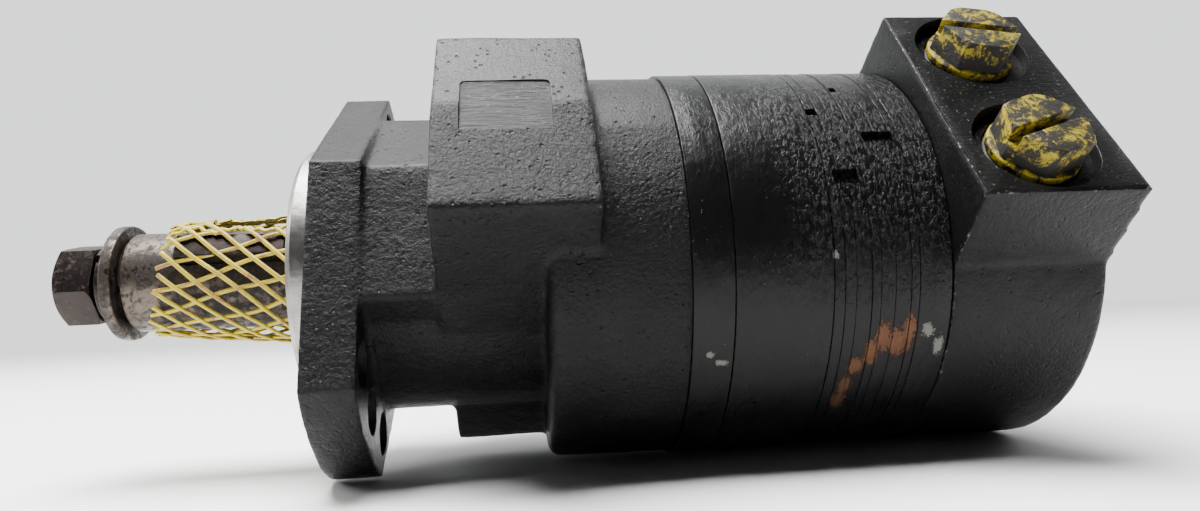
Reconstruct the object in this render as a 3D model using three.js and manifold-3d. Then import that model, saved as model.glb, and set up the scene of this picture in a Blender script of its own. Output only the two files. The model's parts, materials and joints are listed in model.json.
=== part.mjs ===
// A low-speed, high-torque orbit hydraulic motor, lying on its side.
//
// Units are millimetres and +Z is up. The shaft axis is the X axis and the shaft points
// towards -X. The origin is the middle of the flat rear face of the end cover.
// The pieces stand in a group that is rolled about X: in that group +Z is the direction
// in which the two work ports face.

import * as THREE from 'three';
import * as BufferGeometryUtils from 'three/addons/utils/BufferGeometryUtils.js';
import Module from 'manifold-3d';

const wasm = await Module();
wasm.setup();

// ---------------------------------------------------------------- driving dimensions

const ROLL = THREE.MathUtils.degToRad(51.7);
const GAP = 0.2;
const FIT = 0.25;

// The stack, from the rear face forwards.
const BODY_RADIUS = 64;
const COVER_LENGTH = 47.5;
const RING_LENGTH = 9.7;
const MANIFOLD_PLATES = [3.1, 3.2, 4.6, 2.6, 4.2, 4.6, 2.4];
const MANIFOLD_BORE_RADIUS = 19.5;
const WINDOW_INNER_RADIUS = 26;
const WINDOW_OUTER_RADIUS = 36;
const WINDOW_HALF_ANGLE = 0.09;
const WINDOW_STEP = Math.PI / 60;
const ROTOR_SET_LENGTH = 27.9;
const WEAR_PLATE_LENGTH = 12.1;
const WEAR_PLATE_BORE_RADIUS = 17.5;

const COVER_FRONT = -COVER_LENGTH;
const RING_FRONT = COVER_FRONT - RING_LENGTH;
const MANIFOLD_FRONT = RING_FRONT - MANIFOLD_PLATES.reduce((sum, thickness) => sum + thickness);
const ROTOR_SET_FRONT = MANIFOLD_FRONT - ROTOR_SET_LENGTH;
const HOUSING_REAR = ROTOR_SET_FRONT - WEAR_PLATE_LENGTH;

// The cast housing.
const CAST_RADIUS = 63.2;
const CAST_LENGTH = 39.1;
const BLOCK_LENGTH = 30.2;
const BLOCK_OVERLAP = 14.8;
const NECK_LENGTH = 21.1;
const NECK_RADIUS = 45;
const NECK_RIDGE = 48.8;
const NECK_SLOPE = THREE.MathUtils.degToRad(20);
const FLANGE_THICKNESS = 15.2;
const FLANGE_LOBE_RADIUS = 66.5;
const FLANGE_FLAT_DISTANCE = 47.4;
const FLANGE_FLAT_ANGLE = THREE.MathUtils.degToRad(23);
const FLANGE_HOLE_RADIUS = 6.75;
const FLANGE_HOLE_CIRCLE = 53.2;
const FLANGE_HOLE_ANGLES = [-21.5, 0, 21.5, 158.5, 180, 201.5];
const PILOT_RADIUS = 41.3;
const PILOT_HEIGHT = 7.2;
const PILOT_CHAMFER = 1.6;
const BLOCK_HALF_WIDTH = 37.4;
const BLOCK_RIDGE = 72;
const BLOCK_EDGE = 68;
const BLOCK_UNDERSIDE = 35.6;
const PAD_HEIGHT = 70.5;
const PAD_HALF_WIDTH = 10.6;
const PAD_LENGTH = 25.5;
const PAD_SETBACK = 8;
const BOSS_HALF_WIDTH = 38;
const BOSS_BOTTOM = -50;
const BOSS_CORNER = 5;
const SIDE_DRAFT = 1.2;
const BLOCK_SPREAD = 6;

const CAST_FRONT = HOUSING_REAR - CAST_LENGTH;
const BLOCK_FRONT = CAST_FRONT - BLOCK_LENGTH;
const FLANGE_REAR = BLOCK_FRONT - NECK_LENGTH;
const FLANGE_FRONT = FLANGE_REAR - FLANGE_THICKNESS;
const PILOT_FRONT = FLANGE_FRONT - PILOT_HEIGHT;

// The bore of the housing, front to rear.
const DUST_BORE_RADIUS = 24.2;
const WEB_RADIUS = 18.5;
const SEAL_BORE_RADIUS = 25.3;
const BEARING_BORE_RADIUS = 26.3;
const REAR_BORE_RADIUS = 33.2;
const DUST_BORE_LENGTH = 6.5;
const WEB_LENGTH = 4;
const SEAL_BORE_LENGTH = 13.4;
const BEARING_BORE_LENGTH = 52.8;

const WEB_FRONT = PILOT_FRONT + DUST_BORE_LENGTH;
const SEAL_BORE_FRONT = WEB_FRONT + WEB_LENGTH;
const BEARING_BORE_FRONT = SEAL_BORE_FRONT + SEAL_BORE_LENGTH;
const REAR_BORE_FRONT = BEARING_BORE_FRONT + BEARING_BORE_LENGTH;

// The shaft and what is on it.
const SHAFT_RADIUS = 15.9;
const JOURNAL_RADIUS = 19.3;
const BELL_RADIUS = 26;
const SHAFT_REACH = 57;
const JOURNAL_LENGTH = 35.2;
const JOURNAL_LEAD = 2.8;
const BELL_RECESS = 3.2;
const BELL_BORE_RADIUS = 19.5;
const BELL_DEPTH = 44;
const SHAFT_END = PILOT_FRONT - SHAFT_REACH;
const JOURNAL_FRONT = BEARING_BORE_FRONT - JOURNAL_LEAD;
const BELL_FRONT = JOURNAL_FRONT + JOURNAL_LENGTH;
const BELL_REAR = HOUSING_REAR - BELL_RECESS;
const SHAFT_SPLINE_FRONT = BELL_REAR - BELL_DEPTH;
const SHAFT_SPLINE_LENGTH = 24;
const SHAFT_END_CHAMFER = 1.5;
const KEY_WIDTH = 7.94;
const KEY_LENGTH = 33;
const KEY_START = 18;
const KEY_TOP = 19.9;
const KEY_FLOOR = 12.2;
const KEY_TURN = THREE.MathUtils.degToRad(6.5);
const BOLT_RADIUS = 7.9;
const TAPPED_DEPTH = 30;
const BOLT_HEAD_FLATS = 23.8;
const BOLT_HEAD_LENGTH = 12;
const BOLT_HEAD_TURN = THREE.MathUtils.degToRad(18.5);
const WASHER_RADIUS = 18.6;
const WASHER_BORE_RADIUS = 8.3;
const WASHER_THICKNESS = 3.6;
const LOCK_WASHER_RADIUS = 12.6;
const LOCK_WASHER_THICKNESS = 4.6;
const NET_THICKNESS = 1.2;
const NET_SETBACK = 7;
const NET_KEY_START = 16;
const NET_FRONT_RADIUS = 16.5;
const NET_KEY_RADIUS = 20.7;
const NET_REAR_RADIUS = 22.4;
const SPLIT_HALF_WIDTH = 0.8;
const SPLIT_SLANT = 20;

// Seals and bearings of the shaft.
const DUST_SEAL_CLEARANCE = 3;
const SHAFT_SEAL_LENGTH = 7.5;
const SEAL_WALL = 3;
const SEAL_WEB = 2.5;
const SEAL_LIP = 2;
const RIB_DEPTH = 2;
const FRONT_ROLLERS = 20;
const REAR_ROLLERS = 26;
const REAR_BEARING_LENGTH = 24;
const THRUST_BEARING_LENGTH = 4;
const THRUST_WASHER_BORE_RADIUS = 20;
const RUNNING_GAP = 0.3;

// The rotor set: seven rollers round a six-lobed rotor that rides off centre.
const ROLLER_COUNT = 7;
const ROLLER_CIRCLE = 38;
const ROLLER_RADIUS = 8;
const ECCENTRICITY = 3.3;
const STATOR_BORE_RADIUS = 37;
const ROTOR_POINTS = 84;
const ROLLER_GAP = 0.3;

// The drive link leans from the shaft axis to the rotor and on to the commutator.
const ROTOR_MIDDLE = ROTOR_SET_FRONT + ROTOR_SET_LENGTH / 2;
const LINK_REACH = 60;
const LINK_PIVOT = ROTOR_MIDDLE - LINK_REACH;
const LINK_LEAN = Math.atan2(ECCENTRICITY, LINK_REACH);
const LINK_NOSE_END = COVER_FRONT - 1.4;
const LINK_NOSE_RADIUS = 7.4;
const LINK_WAIST_RADIUS = 11;
const LINK_SPLINE_LENGTH = 18;
const LINK_FRONT = LINK_PIVOT - 11;
const LINK_WAIST_END = 12;
const LINK_NECK_RADIUS = 8;
const LINK_NECK_LENGTH = 12;
const LINK_NOSE_LENGTH = 9.5;
const SPLINE_TEETH = 12;
const LINK_TIP_RADIUS = 16;
const LINK_ROOT_RADIUS = 13.6;
const LINK_TOOTH_HALF_ANGLE = THREE.MathUtils.degToRad(6.2);
const BORE_TIP_RADIUS = 14.5;
const BORE_ROOT_RADIUS = 16.9;
const BORE_TOOTH_HALF_ANGLE = THREE.MathUtils.degToRad(5.8);

// The commutator is carried round by the nose of the link.
const COMMUTATOR_RADIUS = 26;
const COMMUTATOR_BORE_RADIUS = 8.1;
const RING_BORE_RADIUS = 33;
const COMMUTATOR_GAP = 0.4;
const COMMUTATOR_SEAL = { inner: 20, outer: 22.2, depth: 2.3 };
const COMMUTATOR_RECESS = { inner: 12, outer: 17, depth: 3 };
const COMMUTATOR_MIDDLE = COVER_FRONT - RING_LENGTH / 2;
const COMMUTATOR_OFFSET = (COMMUTATOR_MIDDLE - LINK_PIVOT) * Math.tan(LINK_LEAN);

// Cover bolts, body seals and ports.
const COVER_BOLT_CIRCLE = 55.2;
const COVER_BOLT_RADIUS = 4.7;
const COVER_BOLT_HOLE = 5;
const COVER_BOLT_HEAD_RADIUS = 7;
const COVER_BOLT_HEAD_LENGTH = 9.5;
const COUNTERBORE_RADIUS = 7.6;
const COUNTERBORE_DEPTH = 10.5;
const COVER_BOLT_REACH = 24;
const DRILL_EXTRA = 3;
const SOCKET_FLATS = 8;
const SOCKET_DEPTH = 5;
const SEAL_INNER_RADIUS = 47.2;
const SEAL_WIDTH = 2.2;
const SEAL_DEPTH = 1.8;
const PORT_FACE = 71.6;
const PORT_BLOCK_TOP_HALF_WIDTH = 41.5;
const PORT_BLOCK_ROOT_HALF_WIDTH = 44.5;
const PORT_BLOCK_ROOT = 46;
const PORT_SPACING = 44.8;
const PORT_FROM_REAR = 24.6;
const SPOTFACE_RADIUS = 17.3;
const SPOTFACE_DEPTH = 4;
const PORT_MOUTH_RADIUS = 13.5;
const PORT_MOUTH_DEPTH = 2.2;
const PORT_BORE_RADIUS = 11.3;
const PORT_BORE_DEPTH = 23;
const PORT_DRILL_RADIUS = 5.5;
const GALLERY_RADIUS = 4;
const GALLERY_HEIGHT = 19;
const GALLERY_FLOOR = 14;
const CHAMBER_RADIUS = 10;
const CHAMBER_END = -18.6;
const PLUG_FLANGE_RADIUS = 13;
const PLUG_FLANGE_THICKNESS = 2.5;
const PLUG_HEX_FLATS = 22;
const PLUG_HEX_HEIGHT = 9;
const PLUG_BODY_RADIUS = 10.9;
const PLUG_BODY_DEPTH = 13;
const PLUG_SLOT_WIDTH = 3.5;
const PLUG_SLOT_DEPTH = 4;
const PLUG_TURNS = [0.35, -0.2];
const PLUG_RING = { inner: 11.2, outer: 13.2, height: 1.9, gap: 0.1 };

const HOLE = 8;
const COARSE = 12;
const MEDIUM = 20;
const FINE = 48;
const SEAL_SIDES = 24;
const BORE_SIDES = 40;
const ROLLER_SIDES = 20;

// ---------------------------------------------------------------- geometry helpers

// Swaps axes without rounding: a shape's x, y and depth become Y, Z and X.
const SHAPE_TO_BODY = new THREE.Matrix4().makeBasis(
    new THREE.Vector3(0, 1, 0), new THREE.Vector3(0, 0, 1), new THREE.Vector3(1, 0, 0));
// The axis of a lathe or cylinder geometry becomes X.
const AXIS_TO_BODY = new THREE.Matrix4().makeBasis(
    new THREE.Vector3(0, 0, 1), new THREE.Vector3(1, 0, 0), new THREE.Vector3(0, 1, 0));

function toSolid(geometry) {
    let bare = geometry.index ? geometry.toNonIndexed() : geometry.clone();
    bare.deleteAttribute('normal');
    bare.deleteAttribute('uv');
    bare = BufferGeometryUtils.mergeVertices(bare, 1e-4);
    const vertProperties = new Float32Array(bare.attributes.position.array);
    const corners = Array.from(bare.index.array);
    const triVerts = [];
    for (let i = 0; i < corners.length; i += 3) {
        const [a, b, c] = corners.slice(i, i + 3);
        if (a !== b && b !== c && c !== a) {
            triVerts.push(a, b, c);
        }
    }
    if (signedVolume(vertProperties, triVerts) < 0) {
        triVerts.reverse();
    }
    const mesh = new wasm.Mesh({ numProp: 3, vertProperties, triVerts: new Uint32Array(triVerts) });
    return new wasm.Manifold(mesh);
}

function signedVolume(points, triangles) {
    let total = 0;
    for (let i = 0; i < triangles.length; i += 3) {
        const [a, b, c] = [0, 1, 2].map((k) => new THREE.Vector3().fromArray(points, 3 * triangles[i + k]));
        total += a.dot(b.cross(c));
    }
    return total;
}

function toGeometry(solid) {
    const mesh = solid.getMesh();
    const geometry = new THREE.BufferGeometry();
    geometry.setAttribute('position', new THREE.BufferAttribute(new Float32Array(mesh.vertProperties), 3));
    geometry.setIndex(new THREE.BufferAttribute(new Uint32Array(mesh.triVerts), 1));
    return geometry;
}

function join(...solids) {
    return solids.reduce((sum, next) => sum.add(next));
}

function cut(solid, ...tools) {
    return tools.reduce((rest, tool) => rest.subtract(tool), solid);
}

// A solid of revolution about X. Each point is [distance along X, radius].
function turned(points, segments = FINE) {
    const profile = points.map(([x, radius]) => new THREE.Vector2(radius, x));
    profile.push(profile[0].clone());
    const geometry = new THREE.LatheGeometry(profile, segments);
    geometry.applyMatrix4(AXIS_TO_BODY);
    return toSolid(geometry);
}

function tube(inner, outer, start, end, segments = MEDIUM) {
    return turned([[start, inner], [end, inner], [end, outer], [start, outer]], segments);
}

// A rod along X whose middle line is at (y, z).
function rod(radius, start, end, y = 0, z = 0, segments = MEDIUM) {
    const geometry = new THREE.CylinderGeometry(radius, radius, end - start, segments);
    geometry.applyMatrix4(AXIS_TO_BODY);
    geometry.translate((start + end) / 2, y, z);
    return toSolid(geometry);
}

// An upright rod along Z between two heights.
function post(radius, low, high, x, y, segments = MEDIUM) {
    const geometry = new THREE.CylinderGeometry(radius, radius, high - low, segments);
    geometry.rotateX(Math.PI / 2);
    geometry.translate(x, y, (low + high) / 2);
    return toSolid(geometry);
}

function block(start, end, y0, y1, z0, z1) {
    const geometry = new THREE.BoxGeometry(end - start, y1 - y0, z1 - z0);
    geometry.translate((start + end) / 2, (y0 + y1) / 2, (z0 + z1) / 2);
    return toSolid(geometry);
}

// A flat outline in the Y-Z plane, carried along X.
function prism(shape, start, end, curveSegments = COARSE) {
    const options = { depth: end - start, bevelEnabled: false, curveSegments };
    const geometry = new THREE.ExtrudeGeometry(shape, options);
    geometry.applyMatrix4(SHAPE_TO_BODY);
    geometry.translate(start, 0, 0);
    return toSolid(geometry);
}

function outline(points) {
    return new THREE.Shape(points.map(([y, z]) => new THREE.Vector2(y, z)));
}

function circleOutline(radius, sides) {
    const points = [];
    for (let i = 0; i < sides; i += 1) {
        points.push(polar(radius, Math.PI / 2 - (2 * Math.PI * i) / sides));
    }
    return outline(points);
}

function polar(radius, angle) {
    return [radius * Math.sin(angle), radius * Math.cos(angle)];
}

function polygon(flats, sides, turn = 0) {
    const radius = flats / 2 / Math.cos(Math.PI / sides);
    const points = [];
    for (let i = 0; i < sides; i += 1) {
        points.push(polar(radius, turn + (2 * Math.PI * i) / sides));
    }
    return outline(points);
}

// A toothed outline: each tooth has a flat tip and the space between has a flat root.
function splineOutline(tip, root, halfAngle) {
    const points = [];
    for (let tooth = 0; tooth < SPLINE_TEETH; tooth += 1) {
        const middle = (2 * Math.PI * tooth) / SPLINE_TEETH;
        points.push(polar(root, middle - halfAngle), polar(tip, middle - halfAngle));
        points.push(polar(tip, middle + halfAngle), polar(root, middle + halfAngle));
    }
    return outline(points);
}

function boreSpline(start, end) {
    const phase = Math.PI / SPLINE_TEETH;
    const solid = prism(splineOutline(BORE_TIP_RADIUS, BORE_ROOT_RADIUS, BORE_TOOTH_HALF_ANGLE), start, end);
    return solid.rotate([THREE.MathUtils.radToDeg(phase), 0, 0]);
}

function coverBoltPlaces() {
    const places = [];
    for (let i = 0; i < ROLLER_COUNT; i += 1) {
        places.push(polar(COVER_BOLT_CIRCLE, (2 * Math.PI * i) / ROLLER_COUNT));
    }
    return places;
}

// The first roller is opposite the ports, and the rotor starts pressed towards it.
function rollerPlaces() {
    const places = [];
    for (let i = 0; i < ROLLER_COUNT; i += 1) {
        places.push(polar(ROLLER_CIRCLE, Math.PI + (2 * Math.PI * i) / ROLLER_COUNT));
    }
    return places;
}

function boltHoles(start, end) {
    const radius = COVER_BOLT_HOLE / Math.cos(Math.PI / HOLE);
    return coverBoltPlaces().map(([y, z]) => rod(radius, start, end, y, z, HOLE));
}

function sealGroove(face, direction) {
    const floor = face + direction * (SEAL_DEPTH + 2 * GAP);
    const opening = face - direction;
    const inner = SEAL_INNER_RADIUS - GAP;
    const outer = SEAL_INNER_RADIUS + SEAL_WIDTH + GAP;
    return tube(inner, outer, Math.min(floor, opening), Math.max(floor, opening), SEAL_SIDES);
}

// Moves a solid off the shaft axis towards the first roller.
function offCentre(solid, distance) {
    return solid.rotate([180, 0, 0]).translate([0, 0, -distance]);
}

// ---------------------------------------------------------------- materials

function paint(color, roughness, metalness = 0) {
    return new THREE.MeshStandardMaterial({ color, roughness, metalness });
}

const blackPaint = paint(0x17181a, 0.35);
const bareSteel = paint(0x8b8580, 0.4, 1);
const darkSteel = paint(0x4b4642, 0.5, 1);
const groundSteel = paint(0xa9acb0, 0.25, 1);
const hardSteel = paint(0xb9bcc2, 0.15, 1);
const sinteredSteel = paint(0x74767a, 0.45, 1);
const brass = paint(0xb08d45, 0.35, 1);
const sealRubber = paint(0x1c1d1f, 0.8);
const yellowPlastic = paint(0xd9c22c, 0.5);
const netPlastic = paint(0xe2cf45, 0.6);

// ---------------------------------------------------------------- the assembly

const motor = new THREE.Group();
motor.rotation.x = ROLL;

function add(name, solid, material) {
    const mesh = new THREE.Mesh(toGeometry(solid), material);
    mesh.name = name;
    motor.add(mesh);
    return mesh;
}

// ---------------------------------------------------------------- housing

function flangeOutline() {
    const flatHalfAngle = Math.acos(FLANGE_FLAT_DISTANCE / FLANGE_LOBE_RADIUS);
    const lobeHalfAngle = Math.PI / 2 - FLANGE_FLAT_ANGLE - flatHalfAngle;
    const ridge = FLANGE_FLAT_DISTANCE / Math.cos(FLANGE_FLAT_ANGLE);
    const shape = new THREE.Shape();
    shape.moveTo(0, -ridge);
    shape.absarc(0, 0, FLANGE_LOBE_RADIUS, -lobeHalfAngle, lobeHalfAngle, false);
    shape.lineTo(0, ridge);
    shape.absarc(0, 0, FLANGE_LOBE_RADIUS, Math.PI - lobeHalfAngle, Math.PI + lobeHalfAngle, false);
    return shape;
}

function flangeHoles() {
    return FLANGE_HOLE_ANGLES.map((degrees) => {
        const [y, z] = polar(FLANGE_HOLE_CIRCLE, THREE.MathUtils.degToRad(degrees + 90));
        return rod(FLANGE_HOLE_RADIUS, FLANGE_FRONT - 1, FLANGE_REAR + 1, y, z, COARSE);
    });
}

function neckOutline() {
    const half = BLOCK_HALF_WIDTH + SIDE_DRAFT;
    const shoulder = NECK_RIDGE - half * Math.tan(NECK_SLOPE);
    return outline([[-half, 0], [half, 0], [half, shoulder], [0, NECK_RIDGE], [-half, shoulder]]);
}

function blockOutline() {
    const root = BLOCK_HALF_WIDTH + SIDE_DRAFT;
    const foot = BLOCK_HALF_WIDTH + BLOCK_SPREAD;
    return outline([[-root, BLOCK_UNDERSIDE], [-foot, 0], [foot, 0], [root, BLOCK_UNDERSIDE],
        [BLOCK_HALF_WIDTH, BLOCK_EDGE], [0, BLOCK_RIDGE], [-BLOCK_HALF_WIDTH, BLOCK_EDGE]]);
}

function bossOutline() {
    const half = BOSS_HALF_WIDTH;
    const cornerHeight = BOSS_BOTTOM + BOSS_CORNER;
    const shape = new THREE.Shape();
    shape.moveTo(-half, 0);
    shape.lineTo(-half, cornerHeight);
    shape.absarc(BOSS_CORNER - half, cornerHeight, BOSS_CORNER, Math.PI, 1.5 * Math.PI, false);
    shape.absarc(half - BOSS_CORNER, cornerHeight, BOSS_CORNER, 1.5 * Math.PI, 2 * Math.PI, false);
    shape.lineTo(half, 0);
    return shape;
}

function housingBore() {
    const rear = HOUSING_REAR + 1;
    return turned([
        [PILOT_FRONT - 1, 0], [PILOT_FRONT - 1, DUST_BORE_RADIUS], [WEB_FRONT, DUST_BORE_RADIUS],
        [WEB_FRONT, WEB_RADIUS], [SEAL_BORE_FRONT, WEB_RADIUS], [SEAL_BORE_FRONT, SEAL_BORE_RADIUS],
        [BEARING_BORE_FRONT, SEAL_BORE_RADIUS], [BEARING_BORE_FRONT, BEARING_BORE_RADIUS],
        [REAR_BORE_FRONT, BEARING_BORE_RADIUS], [REAR_BORE_FRONT, REAR_BORE_RADIUS],
        [rear, REAR_BORE_RADIUS], [rear, 0],
    ], BORE_SIDES);
}

function makeHousing() {
    const pilot = turned([
        [PILOT_FRONT, 0],
        [PILOT_FRONT, PILOT_RADIUS - PILOT_CHAMFER], [PILOT_FRONT + PILOT_CHAMFER, PILOT_RADIUS],
        [FLANGE_FRONT + 1, PILOT_RADIUS], [FLANGE_FRONT + 1, 0],
    ]);
    const casting = join(
        pilot,
        prism(flangeOutline(), FLANGE_FRONT, FLANGE_REAR),
        rod(NECK_RADIUS, FLANGE_REAR - 1, CAST_FRONT + 1, 0, 0, FINE),
        prism(neckOutline(), FLANGE_REAR - 1, BLOCK_FRONT + 1),
        prism(blockOutline(), BLOCK_FRONT, CAST_FRONT + BLOCK_OVERLAP),
        prism(bossOutline(), BLOCK_FRONT, CAST_FRONT + 1, 4),
        rod(CAST_RADIUS, CAST_FRONT, HOUSING_REAR, 0, 0, FINE),
    );
    const padFront = BLOCK_FRONT + PAD_SETBACK;
    const padRear = padFront + PAD_LENGTH;
    const pad = block(padFront, padRear, -PAD_HALF_WIDTH, PAD_HALF_WIDTH, PAD_HEIGHT, BLOCK_RIDGE + 1);
    return cut(
        casting,
        pad,
        housingBore(),
        ...flangeHoles(),
        ...boltHoles(HOUSING_REAR - COVER_BOLT_REACH - DRILL_EXTRA, HOUSING_REAR + 1),
        sealGroove(HOUSING_REAR, -1),
    );
}

add('housing', makeHousing(), blackPaint);

// ---------------------------------------------------------------- seals and bearings of the shaft

function makeDustSeal() {
    const front = PILOT_FRONT + FIT;
    const rear = WEB_FRONT - FIT;
    const outer = DUST_BORE_RADIUS - FIT;
    const inner = SHAFT_RADIUS + DUST_SEAL_CLEARANCE;
    const lip = front + DUST_SEAL_CLEARANCE;
    const profile = [[front, inner], [front, outer], [rear, outer], [rear, inner], [lip, SHAFT_RADIUS + FIT]];
    return turned(profile, MEDIUM);
}

function makeShaftSeal() {
    const front = SEAL_BORE_FRONT + FIT;
    const rear = front + SHAFT_SEAL_LENGTH;
    const outer = SEAL_BORE_RADIUS - FIT;
    const wall = outer - SEAL_WALL;
    const lip = SHAFT_RADIUS + FIT;
    return turned([
        [front, SHAFT_RADIUS + SEAL_WEB], [front, outer], [rear, outer], [rear, wall],
        [front + SEAL_WEB, wall], [rear - 1, lip], [rear - 1 - SEAL_LIP, lip],
    ], MEDIUM);
}

// A drawn cup with a ring of needle rollers: the rollers show as ribs round the bore.
function needleBearing(inner, outer, start, end, rollers) {
    const shape = circleOutline(outer, SEAL_SIDES);
    const bore = [];
    const floor = inner + RIB_DEPTH;
    for (let i = 0; i < rollers; i += 1) {
        const angle = (2 * Math.PI * i) / rollers;
        const quarter = Math.PI / rollers / 2;
        bore.push(polar(inner, angle - quarter), polar(inner, angle + quarter));
        bore.push(polar(floor, angle + 1.6 * quarter), polar(floor, angle + 2.4 * quarter));
    }
    shape.holes.push(outline(bore));
    return prism(shape, start, end);
}

add('dust_seal', makeDustSeal(), sealRubber);
add('shaft_seal', makeShaftSeal(), sealRubber);
add('backup_washer', tube(
    SHAFT_RADIUS + RUNNING_GAP, SEAL_BORE_RADIUS - FIT,
    SEAL_BORE_FRONT + SHAFT_SEAL_LENGTH + 2 * FIT, JOURNAL_FRONT - RUNNING_GAP), brass);
add('front_bearing', needleBearing(
    JOURNAL_RADIUS + RUNNING_GAP, BEARING_BORE_RADIUS - RUNNING_GAP,
    BEARING_BORE_FRONT + FIT, BELL_FRONT - THRUST_BEARING_LENGTH - 2 * FIT, FRONT_ROLLERS), sinteredSteel);
add('thrust_bearing', tube(
    JOURNAL_RADIUS + RUNNING_GAP, BEARING_BORE_RADIUS - RUNNING_GAP,
    BELL_FRONT - THRUST_BEARING_LENGTH, BELL_FRONT - FIT), sinteredSteel);
add('rear_bearing', needleBearing(
    BELL_RADIUS + RUNNING_GAP, REAR_BORE_RADIUS - RUNNING_GAP,
    REAR_BORE_FRONT + FIT, REAR_BORE_FRONT + REAR_BEARING_LENGTH, REAR_ROLLERS), sinteredSteel);
add('thrust_washer', tube(
    THRUST_WASHER_BORE_RADIUS, REAR_BORE_RADIUS - RUNNING_GAP,
    BELL_REAR + RUNNING_GAP, HOUSING_REAR - RUNNING_GAP), brass);

// ---------------------------------------------------------------- wear plate, stator and rollers

function makeWearPlate() {
    const rear = ROTOR_SET_FRONT - GAP;
    const plate = tube(WEAR_PLATE_BORE_RADIUS, BODY_RADIUS, HOUSING_REAR + GAP, rear, FINE);
    return cut(plate, ...boltHoles(HOUSING_REAR, ROTOR_SET_FRONT), sealGroove(rear, -1));
}

function makeStator() {
    const rear = MANIFOLD_FRONT - GAP;
    const ring = tube(STATOR_BORE_RADIUS, BODY_RADIUS, ROTOR_SET_FRONT, rear, FINE);
    const pockets = rollerPlaces().map(
        ([y, z]) => rod(ROLLER_RADIUS + FIT, ROTOR_SET_FRONT - 1, MANIFOLD_FRONT + 1, y, z, ROLLER_SIDES));
    return cut(ring, ...pockets, ...boltHoles(ROTOR_SET_FRONT - 1, MANIFOLD_FRONT + 1), sealGroove(rear, -1));
}

add('wear_plate', makeWearPlate(), blackPaint);
add('stator', makeStator(), blackPaint);
rollerPlaces().forEach(([y, z], i) => {
    const end = MANIFOLD_FRONT - ROLLER_GAP - GAP;
    const roller = rod(ROLLER_RADIUS, ROTOR_SET_FRONT + ROLLER_GAP, end, y, z, ROLLER_SIDES);
    add(`vane_roller_${i + 1}`, roller, hardSteel);
});

// ---------------------------------------------------------------- rotor

// The path of a roller's middle as the rotor sees it, moved in by the roller's radius.
function rotorOutline() {
    const offset = ROLLER_RADIUS + ROLLER_GAP;
    const n = ROLLER_COUNT;
    const points = [];
    for (let i = 0; i < ROTOR_POINTS; i += 1) {
        const u = (2 * Math.PI * i) / ROTOR_POINTS;
        const [py, pz] = [ROLLER_CIRCLE * Math.sin(u) - ECCENTRICITY * Math.sin(n * u),
            ROLLER_CIRCLE * Math.cos(u) - ECCENTRICITY * Math.cos(n * u)];
        const [ty, tz] = [ROLLER_CIRCLE * Math.cos(u) - n * ECCENTRICITY * Math.cos(n * u),
            -ROLLER_CIRCLE * Math.sin(u) + n * ECCENTRICITY * Math.sin(n * u)];
        const length = Math.hypot(ty, tz);
        points.push([py + (offset * tz) / length, pz - (offset * ty) / length]);
    }
    return outline(points);
}

function makeRotor() {
    const [start, end] = [ROTOR_SET_FRONT + ROLLER_GAP, MANIFOLD_FRONT - ROLLER_GAP - GAP];
    const body = prism(rotorOutline(), start, end);
    return offCentre(cut(body, boreSpline(start - 1, end + 1)), ECCENTRICITY);
}

add('rotor', makeRotor(), groundSteel);

// ---------------------------------------------------------------- manifold and commutator

function manifoldPlate(index, start, thickness) {
    const shape = circleOutline(BODY_RADIUS, FINE);
    shape.holes.push(circleOutline(MANIFOLD_BORE_RADIUS, COARSE));
    // The windows step round from plate to plate, so that together they make sloping passages.
    const twist = index * WINDOW_STEP;
    for (let i = 0; i < ROLLER_COUNT; i += 1) {
        const middle = (2 * Math.PI * i) / ROLLER_COUNT + twist;
        shape.holes.push(outline([
            polar(WINDOW_INNER_RADIUS, middle - WINDOW_HALF_ANGLE),
            polar(WINDOW_OUTER_RADIUS, middle - WINDOW_HALF_ANGLE),
            polar(WINDOW_OUTER_RADIUS, middle + WINDOW_HALF_ANGLE),
            polar(WINDOW_INNER_RADIUS, middle + WINDOW_HALF_ANGLE),
        ]));
    }
    const plate = prism(shape, start, start + thickness - GAP / 2);
    return cut(plate, ...boltHoles(start - 1, start + thickness));
}

function makeCommutator() {
    const disc = tube(
        COMMUTATOR_BORE_RADIUS, COMMUTATOR_RADIUS, RING_FRONT + COMMUTATOR_GAP, COVER_FRONT - COMMUTATOR_GAP);
    const { inner, outer, depth } = COMMUTATOR_SEAL;
    const groove = tube(inner - GAP, outer + GAP, COVER_FRONT - depth - RUNNING_GAP, COVER_FRONT);
    const recess = tube(
        COMMUTATOR_RECESS.inner, COMMUTATOR_RECESS.outer, RING_FRONT, RING_FRONT + COMMUTATOR_RECESS.depth);
    return offCentre(cut(disc, groove, recess), COMMUTATOR_OFFSET);
}

function makeCommutatorSeal() {
    const { inner, outer, depth } = COMMUTATOR_SEAL;
    const ring = tube(inner, outer, COVER_FRONT - depth, COVER_FRONT - COMMUTATOR_GAP);
    return offCentre(ring, COMMUTATOR_OFFSET);
}

MANIFOLD_PLATES.reduce((start, thickness, i) => {
    add(`manifold_plate_${i + 1}`, manifoldPlate(i, start, thickness), blackPaint);
    return start + thickness;
}, MANIFOLD_FRONT);
add('commutator_ring', cut(
    tube(RING_BORE_RADIUS, BODY_RADIUS, RING_FRONT + GAP / 2, COVER_FRONT - GAP, FINE),
    ...boltHoles(RING_FRONT - 1, COVER_FRONT + 1),
    sealGroove(RING_FRONT + GAP / 2, 1),
), blackPaint);
add('commutator', makeCommutator(), groundSteel);
add('commutator_seal', makeCommutatorSeal(), brass);

// ---------------------------------------------------------------- drive link

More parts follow.
